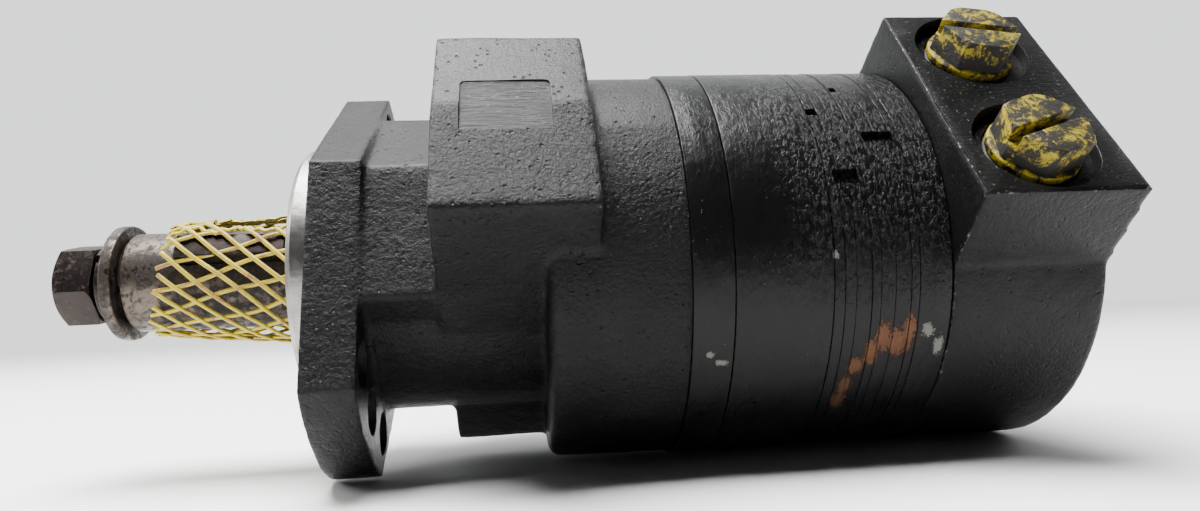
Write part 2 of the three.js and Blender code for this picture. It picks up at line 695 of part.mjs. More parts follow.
function makeDriveLink() {
    const spline = (middle) => prism(
        splineOutline(LINK_TIP_RADIUS, LINK_ROOT_RADIUS, LINK_TOOTH_HALF_ANGLE),
        middle - LINK_SPLINE_LENGTH / 2, middle + LINK_SPLINE_LENGTH / 2);
    const rotorSpline = LINK_PIVOT + LINK_REACH / Math.cos(LINK_LEAN);
    const end = LINK_PIVOT + (LINK_NOSE_END - LINK_PIVOT) / Math.cos(LINK_LEAN);
    const core = turned([
        [LINK_FRONT, 0], [LINK_FRONT, LINK_WAIST_RADIUS], [rotorSpline + LINK_WAIST_END, LINK_WAIST_RADIUS],
        [end - LINK_NECK_LENGTH, LINK_NECK_RADIUS], [end - LINK_NOSE_LENGTH, LINK_NOSE_RADIUS],
        [end - 1, LINK_NOSE_RADIUS], [end, LINK_NOSE_RADIUS - 1], [end, 0],
    ], 24);
    return join(core, spline(LINK_PIVOT), spline(rotorSpline))
        .translate([-LINK_PIVOT, 0, 0])
        .rotate([180, THREE.MathUtils.radToDeg(LINK_LEAN), 0])
        .translate([LINK_PIVOT, 0, 0]);
}

add('drive_link', makeDriveLink(), darkSteel);

// ---------------------------------------------------------------- coupling shaft

function keyBar(clearance) {
    const half = KEY_WIDTH / 2 + clearance;
    const start = SHAFT_END + KEY_START - clearance;
    const end = SHAFT_END + KEY_START + KEY_LENGTH + clearance;
    const bar = block(start, end, -half, half, KEY_FLOOR - clearance, KEY_TOP + clearance);
    return bar.rotate([THREE.MathUtils.radToDeg(KEY_TURN), 0, 0]);
}

function makeShaft() {
    const splineEnd = SHAFT_SPLINE_FRONT + SHAFT_SPLINE_LENGTH;
    const body = turned([
        [SHAFT_END, 0],
        [SHAFT_END, SHAFT_RADIUS - SHAFT_END_CHAMFER], [SHAFT_END + SHAFT_END_CHAMFER, SHAFT_RADIUS],
        [JOURNAL_FRONT, SHAFT_RADIUS], [JOURNAL_FRONT, JOURNAL_RADIUS], [BELL_FRONT, JOURNAL_RADIUS],
        [BELL_FRONT, BELL_RADIUS], [BELL_REAR, BELL_RADIUS], [BELL_REAR, 0],
    ], 32);
    const tapped = rod(BOLT_RADIUS + RUNNING_GAP, SHAFT_END - 1, SHAFT_END + TAPPED_DEPTH, 0, 0, 24);
    const mouth = rod(BELL_BORE_RADIUS, splineEnd, BELL_REAR + 1);
    return cut(body, tapped, boreSpline(SHAFT_SPLINE_FRONT, splineEnd + 1), mouth, keyBar(FIT));
}

// A spring washer: a ring with one narrow slanting gap.
function makeLockWasher(start) {
    const ring = tube(WASHER_BORE_RADIUS, LOCK_WASHER_RADIUS, start, start + LOCK_WASHER_THICKNESS);
    const end = 2 * LOCK_WASHER_THICKNESS;
    const split = block(-LOCK_WASHER_THICKNESS, end, -SPLIT_HALF_WIDTH, SPLIT_HALF_WIDTH, 0, BODY_RADIUS);
    return cut(ring, split.rotate([0, 0, SPLIT_SLANT]).translate([start, 0, 0]));
}

function makeShaftBolt(headRear) {
    const head = prism(polygon(BOLT_HEAD_FLATS, 6, BOLT_HEAD_TURN), headRear - BOLT_HEAD_LENGTH, headRear);
    return join(head, rod(BOLT_RADIUS, headRear - 1, SHAFT_END + TAPPED_DEPTH - 2, 0, 0, 24));
}

function makeNet() {
    const start = SHAFT_END + NET_SETBACK;
    const middle = SHAFT_END + NET_KEY_START;
    const end = PILOT_FRONT - 1;
    return turned([
        [start, NET_FRONT_RADIUS], [middle, NET_KEY_RADIUS], [end, NET_REAR_RADIUS],
        [end, NET_REAR_RADIUS + NET_THICKNESS], [middle, NET_KEY_RADIUS + NET_THICKNESS],
        [start, NET_FRONT_RADIUS + NET_THICKNESS],
    ], MEDIUM);
}

const washerRear = SHAFT_END - RUNNING_GAP;
const washerFront = washerRear - WASHER_THICKNESS;
const lockWasherFront = washerFront - GAP - LOCK_WASHER_THICKNESS;
add('coupling_shaft', makeShaft(), bareSteel);
add('shaft_key', keyBar(0), darkSteel);
add('shaft_washer', tube(WASHER_BORE_RADIUS, WASHER_RADIUS, washerFront, washerRear, 32), bareSteel);
add('lock_washer', makeLockWasher(lockWasherFront), darkSteel);
add('shaft_bolt', makeShaftBolt(lockWasherFront - GAP), darkSteel);
add('netting_sleeve', makeNet(), netPlastic);

// ---------------------------------------------------------------- end cover, ports and plugs

function portBlockOutline() {
    return outline([
        [-PORT_BLOCK_ROOT_HALF_WIDTH, 0], [PORT_BLOCK_ROOT_HALF_WIDTH, 0],
        [PORT_BLOCK_ROOT_HALF_WIDTH, PORT_BLOCK_ROOT], [PORT_BLOCK_TOP_HALF_WIDTH, PORT_FACE],
        [-PORT_BLOCK_TOP_HALF_WIDTH, PORT_FACE], [-PORT_BLOCK_ROOT_HALF_WIDTH, PORT_BLOCK_ROOT],
    ]);
}

function portHole(y, depth) {
    const x = -PORT_FROM_REAR;
    const spot = PORT_FACE - SPOTFACE_DEPTH;
    return join(
        post(SPOTFACE_RADIUS, spot, PORT_FACE + 1, x, y),
        post(PORT_MOUTH_RADIUS, spot - PORT_MOUTH_DEPTH, spot + 1, x, y),
        post(PORT_BORE_RADIUS, PORT_FACE - PORT_BORE_DEPTH, spot, x, y),
        post(PORT_DRILL_RADIUS, depth, PORT_FACE - PORT_BORE_DEPTH + 1, x, y, COARSE),
    );
}

function crossDrill(y) {
    const geometry = new THREE.CylinderGeometry(GALLERY_RADIUS, GALLERY_RADIUS, Math.abs(y), COARSE);
    geometry.translate(-PORT_FROM_REAR, y / 2, 0);
    return toSolid(geometry);
}

function makeEndCover() {
    const half = PORT_SPACING / 2;
    const cover = join(
        rod(BODY_RADIUS, COVER_FRONT, 0, 0, 0, FINE),
        prism(portBlockOutline(), COVER_FRONT, 0),
    );
    const counterbores = coverBoltPlaces().map(
        ([y, z]) => rod(COUNTERBORE_RADIUS, -COUNTERBORE_DEPTH, 1, y, z, 16));
    return cut(
        cover,
        portHole(-half, GALLERY_FLOOR),
        rod(GALLERY_RADIUS, COVER_FRONT - 1, -PORT_FROM_REAR, -half, GALLERY_HEIGHT, COARSE),
        portHole(half, -GALLERY_RADIUS),
        crossDrill(half),
        rod(CHAMBER_RADIUS, COVER_FRONT - 1, CHAMBER_END, 0, 0, 24),
        ...boltHoles(COVER_FRONT - 1, 1),
        ...counterbores,
        sealGroove(COVER_FRONT, 1),
    );
}

function makePlug(y, turn) {
    const seat = PORT_FACE - SPOTFACE_DEPTH + GAP;
    const top = seat + PLUG_FLANGE_THICKNESS + PLUG_HEX_HEIGHT;
    const options = { depth: PLUG_HEX_HEIGHT, bevelEnabled: false };
    const hex = new THREE.ExtrudeGeometry(polygon(PLUG_HEX_FLATS, 6), options);
    hex.translate(0, 0, seat + PLUG_FLANGE_THICKNESS);
    const half = PLUG_SLOT_WIDTH / 2;
    const solid = cut(
        join(
            toSolid(hex),
            post(PLUG_FLANGE_RADIUS, seat, seat + PLUG_FLANGE_THICKNESS, 0, 0),
            post(PLUG_BODY_RADIUS, seat - PLUG_BODY_DEPTH, seat + 1, 0, 0),
        ),
        block(-BODY_RADIUS, BODY_RADIUS, -half, half, top - PLUG_SLOT_DEPTH, top + 1),
    );
    return solid.rotate([0, 0, THREE.MathUtils.radToDeg(turn)]).translate([-PORT_FROM_REAR, y, 0]);
}

function makePlugRing(y) {
    const { inner, outer, height, gap } = PLUG_RING;
    const top = PORT_FACE - SPOTFACE_DEPTH - gap;
    const low = top - height;
    const profile = [[inner, low], [outer, low], [outer, top], [inner, top], [inner, low]];
    const geometry = new THREE.LatheGeometry(profile.map(([r, z]) => new THREE.Vector2(r, z)), 24);
    geometry.rotateX(Math.PI / 2);
    geometry.translate(-PORT_FROM_REAR, y, 0);
    return toSolid(geometry);
}

add('end_cover', makeEndCover(), blackPaint);
[-PORT_SPACING / 2, PORT_SPACING / 2].forEach((y, i) => {
    add(`port_plug_${i + 1}`, makePlug(y, PLUG_TURNS[i]), yellowPlastic);
    add(`plug_oring_${i + 1}`, makePlugRing(y), sealRubber);
});

// ---------------------------------------------------------------- body seals and cover bolts

// Where each square seal ring starts, in the groove of the plate that holds it.
const SEAL_STARTS = [
    HOUSING_REAR - SEAL_DEPTH - GAP,
    ROTOR_SET_FRONT - SEAL_DEPTH - 2 * GAP,
    MANIFOLD_FRONT - SEAL_DEPTH - 2 * GAP,
    RING_FRONT + 1.5 * GAP,
    COVER_FRONT + GAP,
];

function makeCoverBolt(y, z) {
    const headFront = -COUNTERBORE_DEPTH + GAP;
    const headRear = headFront + COVER_BOLT_HEAD_LENGTH;
    const socket = prism(polygon(SOCKET_FLATS, 6), headRear - SOCKET_DEPTH, headRear + 1);
    const bolt = join(
        rod(COVER_BOLT_HEAD_RADIUS, headFront, headRear, 0, 0, 16),
        rod(COVER_BOLT_RADIUS, HOUSING_REAR - COVER_BOLT_REACH, headFront + 1, 0, 0, HOLE),
    );
    return cut(bolt, socket).translate([0, y, z]);
}

SEAL_STARTS.forEach((start, i) => {
    const outer = SEAL_INNER_RADIUS + SEAL_WIDTH;
    const seal = tube(SEAL_INNER_RADIUS, outer, start, start + SEAL_DEPTH, SEAL_SIDES);
    add(`body_seal_${i + 1}`, seal, sealRubber);
});
coverBoltPlaces().forEach(([y, z], i) => {
    add(`cover_bolt_${i + 1}`, makeCoverBolt(y, z), darkSteel);
});

export default motor;
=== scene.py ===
import json
import math

import bmesh
import bpy
import numpy as np
from mathutils import Matrix, Vector, noise


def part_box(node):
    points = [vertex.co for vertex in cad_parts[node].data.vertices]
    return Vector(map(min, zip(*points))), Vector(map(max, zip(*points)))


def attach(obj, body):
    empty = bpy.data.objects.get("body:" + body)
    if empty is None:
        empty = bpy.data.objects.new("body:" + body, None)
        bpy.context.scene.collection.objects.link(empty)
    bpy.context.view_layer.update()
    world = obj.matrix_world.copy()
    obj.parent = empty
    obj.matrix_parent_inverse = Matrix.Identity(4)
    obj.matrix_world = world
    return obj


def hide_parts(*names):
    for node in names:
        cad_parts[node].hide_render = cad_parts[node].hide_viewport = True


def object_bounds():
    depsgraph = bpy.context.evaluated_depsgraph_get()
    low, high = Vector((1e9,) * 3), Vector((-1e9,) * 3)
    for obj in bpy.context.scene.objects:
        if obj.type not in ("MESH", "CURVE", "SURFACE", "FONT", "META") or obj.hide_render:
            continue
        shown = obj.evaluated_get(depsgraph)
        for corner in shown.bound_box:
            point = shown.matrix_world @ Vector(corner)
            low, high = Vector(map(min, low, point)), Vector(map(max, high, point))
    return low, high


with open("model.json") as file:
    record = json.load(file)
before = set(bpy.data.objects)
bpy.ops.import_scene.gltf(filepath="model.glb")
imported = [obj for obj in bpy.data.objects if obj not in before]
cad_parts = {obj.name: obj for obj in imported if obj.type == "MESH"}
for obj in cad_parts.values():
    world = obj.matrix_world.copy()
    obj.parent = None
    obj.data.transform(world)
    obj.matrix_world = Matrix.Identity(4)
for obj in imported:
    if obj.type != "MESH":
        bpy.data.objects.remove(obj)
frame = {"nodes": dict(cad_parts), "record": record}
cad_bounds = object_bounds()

# The motor is built in millimetres in its own upright frame, where the ports face +Z and the
# shaft axis is X, and is then rolled about X to the angle in which it lies on the floor.
MM = 0.001
ROLL = math.radians(51.7)
TO_ROW = Matrix.Rotation(ROLL, 4, "X") @ Matrix.Scale(MM, 4)
VOXEL = 0.9
ROUND = 224

CAST_RADIUS = 63.2
NECK_RADIUS = 45.0
NECK_RIDGE = 48.8
NECK_SLOPE = math.radians(20)
LOBE_RADIUS = 66.5
FLAT_DISTANCE = 47.4
FLAT_ANGLE = math.radians(23)
FLANGE_HOLE_RADIUS = 6.75
FLANGE_HOLE_CIRCLE = 53.2
FLANGE_HOLE_ANGLES = (-21.5, 0, 21.5, 158.5, 180, 201.5)
PILOT_RADIUS = 41.3
PILOT_HEIGHT = 7.2
BLOCK_HALF = 37.4
BLOCK_RIDGE = 72.0
BLOCK_EDGE = 68.0
PORT_FACE = 71.6
PORT_X = -24.6
PORT_Y = 22.4
BOLT_CIRCLE = 55.2
KEY_TURN = math.radians(6.5)
PAD_FACE = 70.4
PAD_HALF = 10.6
PAD_FRONT = 8.0
PAD_REAR = 33.5


def span(node):
    """The first and last X of a CAD node, in millimetres."""
    low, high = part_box(node)
    return low.x / MM, high.x / MM


HOUSING_FRONT, HOUSING_REAR = span("housing")
FLANGE_FRONT = HOUSING_FRONT + PILOT_HEIGHT
FLANGE_REAR = FLANGE_FRONT + 15.2
BLOCK_FRONT = FLANGE_REAR + 21.1
CAST_FRONT = BLOCK_FRONT + 30.2
BLOCK_REAR = CAST_FRONT + 14.8
COVER_FRONT = span("end_cover")[0]


# ------------------------------------------------------------------ mesh helpers

def make_object(name, points, faces):
    mesh = bpy.data.meshes.new(name)
    mesh.from_pydata([tuple(p) for p in points], [], faces)
    mesh.update()
    obj = bpy.data.objects.new(name, mesh)
    bpy.context.scene.collection.objects.link(obj)
    fix_normals(obj)
    return obj


def fix_normals(obj):
    work = bmesh.new()
    work.from_mesh(obj.data)
    bmesh.ops.remove_doubles(work, verts=work.verts, dist=1e-4)
    bmesh.ops.recalc_face_normals(work, faces=work.faces)
    work.to_mesh(obj.data)
    work.free()


def discard(obj):
    mesh = obj.data
    bpy.data.objects.remove(obj, do_unlink=True)
    bpy.data.meshes.remove(mesh)


def lathe(name, profile, sides=None):
    """A closed profile of (x, radius) points turned about X."""
    sides = sides or ROUND
    points = []
    for x, radius in profile:
        for i in range(sides):
            angle = 2 * math.pi * i / sides
            points.append((x, radius * math.sin(angle), radius * math.cos(angle)))
    count = len(profile)
    faces = []
    for row in range(count):
        below = (row + 1) % count
        for i in range(sides):
            beside = (i + 1) % sides
            faces.append((row * sides + i, row * sides + beside, below * sides + beside, below * sides + i))
    return make_object(name, points, faces)


def solid_lathe(name, profile, sides=None):
    """A profile that starts and ends on the axis, turned about X."""
    sides = sides or ROUND
    inner = profile[1:-1]
    points = [(profile[0][0], 0, 0)]
    for x, radius in inner:
        for i in range(sides):
            angle = 2 * math.pi * i / sides
            points.append((x, radius * math.sin(angle), radius * math.cos(angle)))
    points.append((profile[-1][0], 0, 0))
    faces = []
    last = len(points) - 1
    for i in range(sides):
        beside = (i + 1) % sides
        faces.append((0, 1 + beside, 1 + i))
        tail = 1 + (len(inner) - 1) * sides
        faces.append((last, tail + i, tail + beside))
        for row in range(len(inner) - 1):
            start = 1 + row * sides
            faces.append((start + i, start + beside, start + sides + beside, start + sides + i))
    return make_object(name, points, faces)


def rounded(points, radius, steps=5):
    """Replaces each corner of a closed outline by an arc; radius is one value or one per corner."""
    count = len(points)
    radii = [radius] * count if isinstance(radius, (int, float)) else radius
    result = []
    for i in range(count):
        corner = Vector(points[i])
        before = Vector(points[i - 1]) - corner
        after = Vector(points[(i + 1) % count]) - corner
        half = before.angle(after) / 2
        if radii[i] <= 0 or half > math.radians(89):
            result.append(tuple(corner))
            continue
        reach = min(radii[i] / math.tan(half), 0.49 * before.length, 0.49 * after.length)
        start = corner + before.normalized() * reach
        end = corner + after.normalized() * reach
        for k in range(steps + 1):
            t = k / steps
            result.append(tuple((1 - t) ** 2 * start + 2 * t * (1 - t) * corner + t * t * end))
    return result


def rounded_lathe(name, profile, radius, sides=None):
    return lathe(name, rounded(profile, radius, 4), sides)


def prism(name, outline, start, end):
    """A closed (y, z) outline carried along X."""
    count = len(outline)
    points = [(start, y, z) for y, z in outline] + [(end, y, z) for y, z in outline]
    faces = [tuple(range(count)), tuple(range(2 * count - 1, count - 1, -1))]
    for i in range(count):
        beside = (i + 1) % count
        faces.append((i, beside, count + beside, count + i))
    return make_object(name, points, faces)


def rod(name, radius, start, end, y=0.0, z=0.0, sides=48):
    ring = [(y + radius * math.sin(2 * math.pi * i / sides), z + radius * math.cos(2 * math.pi * i / sides))
            for i in range(sides)]
    return prism(name, ring, start, end)


def post(name, profile, x, y, sides=96):
    """A profile of (radius, height) points turned about an upright line."""
    obj = solid_lathe(name, [(h, r) for r, h in profile], sides)
    obj.data.transform(Matrix.Translation((x, y, 0)) @ Matrix.Rotation(-math.pi / 2, 4, "Y"))
    return obj


def box(name, low, high):
    (x0, y0, z0), (x1, y1, z1) = low, high
    return prism(name, [(y0, z0), (y1, z0), (y1, z1), (y0, z1)], x0, x1)


def join(name, parts):
    """Several shells in one mesh, overlapping or not."""
    work = bmesh.new()
    for part in parts:
        work.from_mesh(part.data)
        discard(part)
    mesh = bpy.data.meshes.new(name)
    work.to_mesh(mesh)
    work.free()
    obj = bpy.data.objects.new(name, mesh)
    bpy.context.scene.collection.objects.link(obj)
    return obj


def bake_modifiers(obj):
    depsgraph = bpy.context.evaluated_depsgraph_get()
    mesh = bpy.data.meshes.new_from_object(obj.evaluated_get(depsgraph))
    obj.modifiers.clear()
    old = obj.data
    obj.data = mesh
    bpy.data.meshes.remove(old)
    return obj


def combine(obj, tool, operation="DIFFERENCE"):
    modifier = obj.modifiers.new("combine", "BOOLEAN")
    modifier.operation = operation
    modifier.solver = "MANIFOLD"
    modifier.object = tool
    bake_modifiers(obj)
    discard(tool)
    return obj


def cast(name, parts, voxel, passes):
    """Melts overlapping solids into one soft-edged casting."""
    obj = join(name, parts)
    remesh = obj.modifiers.new("remesh", "REMESH")
    remesh.mode = "VOXEL"
    remesh.voxel_size = voxel
    smooth = obj.modifiers.new("smooth", "SMOOTH")
    smooth.factor = 0.5
    smooth.iterations = passes
    return bake_modifiers(obj)


def arrays(mesh):
    points = np.empty(len(mesh.vertices) * 3, np.float64)
    mesh.vertices.foreach_get("co", points)
    normals = np.empty(len(mesh.vertices) * 3, np.float64)
    mesh.vertices.foreach_get("normal", normals)
    edges = np.empty(len(mesh.edges) * 2, np.int64)
    mesh.edges.foreach_get("vertices", edges)
    return points.reshape(-1, 3), normals.reshape(-1, 3), edges.reshape(-1, 2)


def curvature(mesh):
    """How sharply the surface bends outwards at each vertex, per millimetre."""
    points, normals, edges = arrays(mesh)
    a, b = edges[:, 0], edges[:, 1]
    step = points[a] - points[b]
    length = np.maximum(np.linalg.norm(step, axis=1), 1e-3)
    value = np.zeros(len(points))
    weight = np.zeros(len(points))
    for here, sign in ((a, 1.0), (b, -1.0)):
        bend = 2 * sign * np.einsum("ij,ij->i", normals[here], step) / length ** 2
        np.add.at(value, here, bend * length)
        np.add.at(weight, here, length)
    value /= np.maximum(weight, 1e-6)
    for _ in range(2):
        total = value.copy()
        count = np.ones(len(points))
        np.add.at(total, a, value[b])
        np.add.at(total, b, value[a])
        np.add.at(count, a, 1)
        np.add.at(count, b, 1)
        value = total / count
    return value


def mark_edges(obj, low=0.06, high=0.3):
    """Stores where outer edges (wear) and inner corners are, from 0 to 1; the inner corners darken paint
    and plastic as painted shade and gather rust on steel.
    """
    bend = curvature(obj.data)
    for name, values in (("wear", bend), ("concavity", -bend)):
        attribute = obj.data.attributes.new(name, "FLOAT", "POINT")
        level = np.clip((values - low) / (high - low), 0, 1)
        attribute.data.foreach_set("value", level.astype(np.float32))


def shift(obj, function):
    """Moves each vertex along its normal by function(point)."""
    points, normals, _ = arrays(obj.data)
    amounts = np.array([function(Vector(p)) for p in points])
    moved = points + normals * amounts[:, None]
    obj.data.vertices.foreach_set("co", moved.ravel())
    obj.data.update()


def finish_piece(obj, material, body, nodes, angle=32, wear=(0.06, 0.3)):
    """Marks its edges, rolls a finished mesh into the row frame, gives it its material, hangs it on its
    body and hides the CAD nodes it replaces.
    """
    mark_edges(obj, *wear)
    obj.data.polygons.foreach_set("use_smooth", [True] * len(obj.data.polygons))
    obj.data.set_sharp_from_angle(angle=math.radians(angle))
    obj.data.transform(TO_ROW)
    obj.data.materials.clear()
    obj.data.materials.append(material)
    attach(obj, body)
    if nodes:
        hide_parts(*nodes)
    return obj


# ------------------------------------------------------------------ shader helpers

class Shader:
    """Builds a material whose textures work in the motor's own frame, in millimetres."""

    def __init__(self, name):
        self.material = bpy.data.materials.new(name)
        self.material.use_nodes = True
        self.tree = self.material.node_tree
        self.surface = self.tree.nodes["Principled BSDF"]
        coords = self.node("ShaderNodeTexCoord")
        turn = self.node("ShaderNodeMapping")
        turn.vector_type = "POINT"
        turn.inputs["Rotation"].default_value = (-ROLL, 0, 0)
        turn.inputs["Scale"].default_value = (1 / MM, 1 / MM, 1 / MM)
        self.link(coords.outputs["Object"], turn.inputs["Vector"])
        self.place = turn.outputs["Vector"]

    def node(self, kind):
        return self.tree.nodes.new(kind)

    def link(self, source, target):
        self.tree.links.new(source, target)

    def put(self, socket, value):
        if isinstance(value, bpy.types.NodeSocket):
            self.link(value, socket)
        elif socket.type == "RGBA" and len(value) == 3:
            socket.default_value = (*value, 1)
        else:
            socket.default_value = value

    def set(self, name, value):
        self.put(self.surface.inputs[name], value)

    def stretched(self, stretch, offset=(0, 0, 0)):
        mapping = self.node("ShaderNodeMapping")
        mapping.inputs["Scale"].default_value = stretch
        mapping.inputs["Location"].default_value = offset
        self.link(self.place, mapping.inputs["Vector"])
        return mapping.outputs["Vector"]

    def noise(self, stretch, detail=3.0, rough=0.55, warp=0.0, offset=(0, 0, 0)):
        if isinstance(stretch, (int, float)):
            stretch = (stretch, stretch, stretch)
        node = self.node("ShaderNodeTexNoise")
        node.inputs["Scale"].default_value = 1
        node.inputs["Detail"].default_value = detail
        node.inputs["Roughness"].default_value = rough
        node.inputs["Distortion"].default_value = warp
        self.link(self.stretched(stretch, offset), node.inputs["Vector"])
        return node.outputs["Fac"]

    def cells(self, scale, feature="F1", offset=(0, 0, 0)):
        node = self.node("ShaderNodeTexVoronoi")
        node.feature = feature
        node.inputs["Scale"].default_value = 1
        self.link(self.stretched((scale, scale, scale), offset), node.inputs["Vector"])
        return node.outputs["Distance"]

    def step(self, value, low, high):
        """0 below low, 1 above high; low may be the greater, which turns it round."""
        node = self.node("ShaderNodeMapRange")
        node.interpolation_type = "SMOOTHSTEP"
        self.put(node.inputs["Value"], value)
        flipped = low > high
        node.inputs["From Min"].default_value = min(low, high)
        node.inputs["From Max"].default_value = max(low, high)
        node.inputs["To Min"].default_value = 1 if flipped else 0
        node.inputs["To Max"].default_value = 0 if flipped else 1
        return node.outputs["Result"]

    def math(self, operation, a, b=0.0):
        node = self.node("ShaderNodeMath")
        node.operation = operation
        self.put(node.inputs[0], a)
        self.put(node.inputs[1], b)
        return node.outputs[0]

    def mix(self, factor, a, b):
        node = self.node("ShaderNodeMix")
        node.data_type = "RGBA"
        self.put(node.inputs[0], factor)
        self.put(node.inputs[6], a)
        self.put(node.inputs[7], b)
        return node.outputs[2]

    def lerp(self, factor, a, b):
        node = self.node("ShaderNodeMix")
        node.data_type = "FLOAT"
        self.put(node.inputs[0], factor)
        self.put(node.inputs[2], a)
        self.put(node.inputs[3], b)
        return node.outputs[0]

    def axis(self, name):
        node = self.node("ShaderNodeSeparateXYZ")
        self.link(self.place, node.inputs[0])
        return node.outputs[name]

    def attribute(self, name):
        node = self.node("ShaderNodeAttribute")
        node.attribute_name = name
        return node.outputs["Fac"]

    def near(self, centre, size):
        """1 at the centre of an ellipsoid, 0 at its skin and beyond."""
        node = self.node("ShaderNodeVectorMath")
        node.operation = "SUBTRACT"
        self.link(self.place, node.inputs[0])
        node.inputs[1].default_value = centre
        scale = self.node("ShaderNodeVectorMath")
        scale.operation = "DIVIDE"
        self.link(node.outputs[0], scale.inputs[0])
        scale.inputs[1].default_value = size
        length = self.node("ShaderNodeVectorMath")
        length.operation = "LENGTH"
        self.link(scale.outputs[0], length.inputs[0])
        return self.math("SUBTRACT", 1.0, length.outputs["Value"])

    def bump(self, height, distance, strength=1.0, base=None):
        """A bump whose distance is in millimetres."""
        node = self.node("ShaderNodeBump")
        node.inputs["Distance"].default_value = distance * MM
        node.inputs["Strength"].default_value = strength
        self.link(height, node.inputs["Height"])
        if base is not None:
            self.link(base, node.inputs["Normal"])
        return node.outputs["Normal"]


def on_ring(x, degrees, radius=64.0):
    """A point on the body, degrees round from the ports towards the near side."""
    angle = math.radians(degrees)
    return (x, -radius * math.sin(angle), radius * math.cos(angle))


# ------------------------------------------------------------------ materials

BLACK = (0.003, 0.0031, 0.0033)
DUSTY = (0.02, 0.02, 0.0195)
PAINT_SHEEN = 0.13
BARE_IRON = (0.17, 0.16, 0.145)


def paint_over_casting(name, rough_bump, machined=None, scuffs=1.0):
    """Black paint over sand-cast iron: smoother on the far side of the parting line."""
    s = Shader(name)
    near_side = s.step(s.axis("Y"), 0.6, -2.5)
    coarse = s.noise(0.75, 5, 0.66, 0.4)
    fine = s.noise(2.1, 3, 0.6)
    pits = s.step(s.cells(0.33), 0.22, 0.05)
    wear = s.attribute("wear")
    concavity = s.attribute("concavity")
    chips = s.noise(0.55, 5, 0.7)
    edges = s.math("MULTIPLY", wear, 0.34 * scuffs)
    worn = s.step(s.math("ADD", edges, s.math("MULTIPLY", chips, 0.75)), 0.78, 0.86)
    dust = s.step(s.noise(0.9, 6, 0.75, offset=(3, 7, 1)), 0.56, 0.75)
    film = s.step(s.noise(0.045, 3, 0.6), 0.42, 0.75)
    colour = s.mix(s.math("MULTIPLY", dust, 0.35), BLACK, DUSTY)
    colour = s.mix(s.math("MULTIPLY", film, 0.35), colour, (0.010, 0.010, 0.009))
    # Inner corners are pulled towards near-black: painted shade in the creases.
    colour = s.mix(s.math("MULTIPLY", concavity, 0.6), colour, (0.006, 0.006, 0.006))
    bare = s.mix(s.noise(2.1, 3), BARE_IRON, (0.12, 0.085, 0.06))
    colour = s.mix(worn, colour, bare)
    roughness = s.lerp(s.noise(0.3, 4, 0.6), 0.26, 0.46)
    roughness = s.lerp(dust, roughness, 0.6)
    coarse = s.math("MULTIPLY", coarse, s.lerp(near_side, 0.35, 1.0))
    texture = s.math("ADD", coarse, s.math("MULTIPLY", fine, 0.22))
    texture = s.math("SUBTRACT", texture, s.math("MULTIPLY", pits, 0.5))
    if machined is not None:
        flat, lines = machined(s)
        texture = s.lerp(flat, texture, lines)
        specks = s.step(s.noise(0.8, 6, 0.8), 0.6, 0.66)
        colour = s.mix(s.math("MULTIPLY", flat, specks), colour, (0.16, 0.15, 0.14))
    s.set("Base Color", colour)
    s.set("Roughness", roughness)
    s.set("Metallic", s.math("MULTIPLY", worn, 0.7))
    s.set("Specular IOR Level", PAINT_SHEEN)
    s.set("Normal", s.bump(texture, rough_bump))
    return s.material


def inside(s, axis, low, high):
    """1 between two values along one axis of the motor."""
    value = s.axis(axis)
    return s.math("MULTIPLY", s.step(value, low - 0.2, low + 0.2), s.step(value, high + 0.2, high - 0.2))


def milled_pad(s):
    """The pad on the block: fine milling lines along the axis."""
    flat = s.math("MULTIPLY", inside(s, "X", BLOCK_FRONT + PAD_FRONT, BLOCK_FRONT + PAD_REAR),
                  inside(s, "Y", -PAD_HALF, PAD_HALF))
    flat = s.math("MULTIPLY", flat, s.step(s.axis("Z"), 69.6, 69.9))
    lines = s.noise((0.05, 3.2, 1.0), 3, 0.6)
    return flat, s.math("MULTIPLY", lines, 0.5)


def port_face(s):
    """The face round the ports: machined, then painted."""
    flat = s.step(s.axis("Z"), PORT_FACE - 0.5, PORT_FACE - 0.3)
    lines = s.noise((0.35, 1.2, 1.0), 4, 0.7)
    return flat, s.math("MULTIPLY", lines, 0.45)


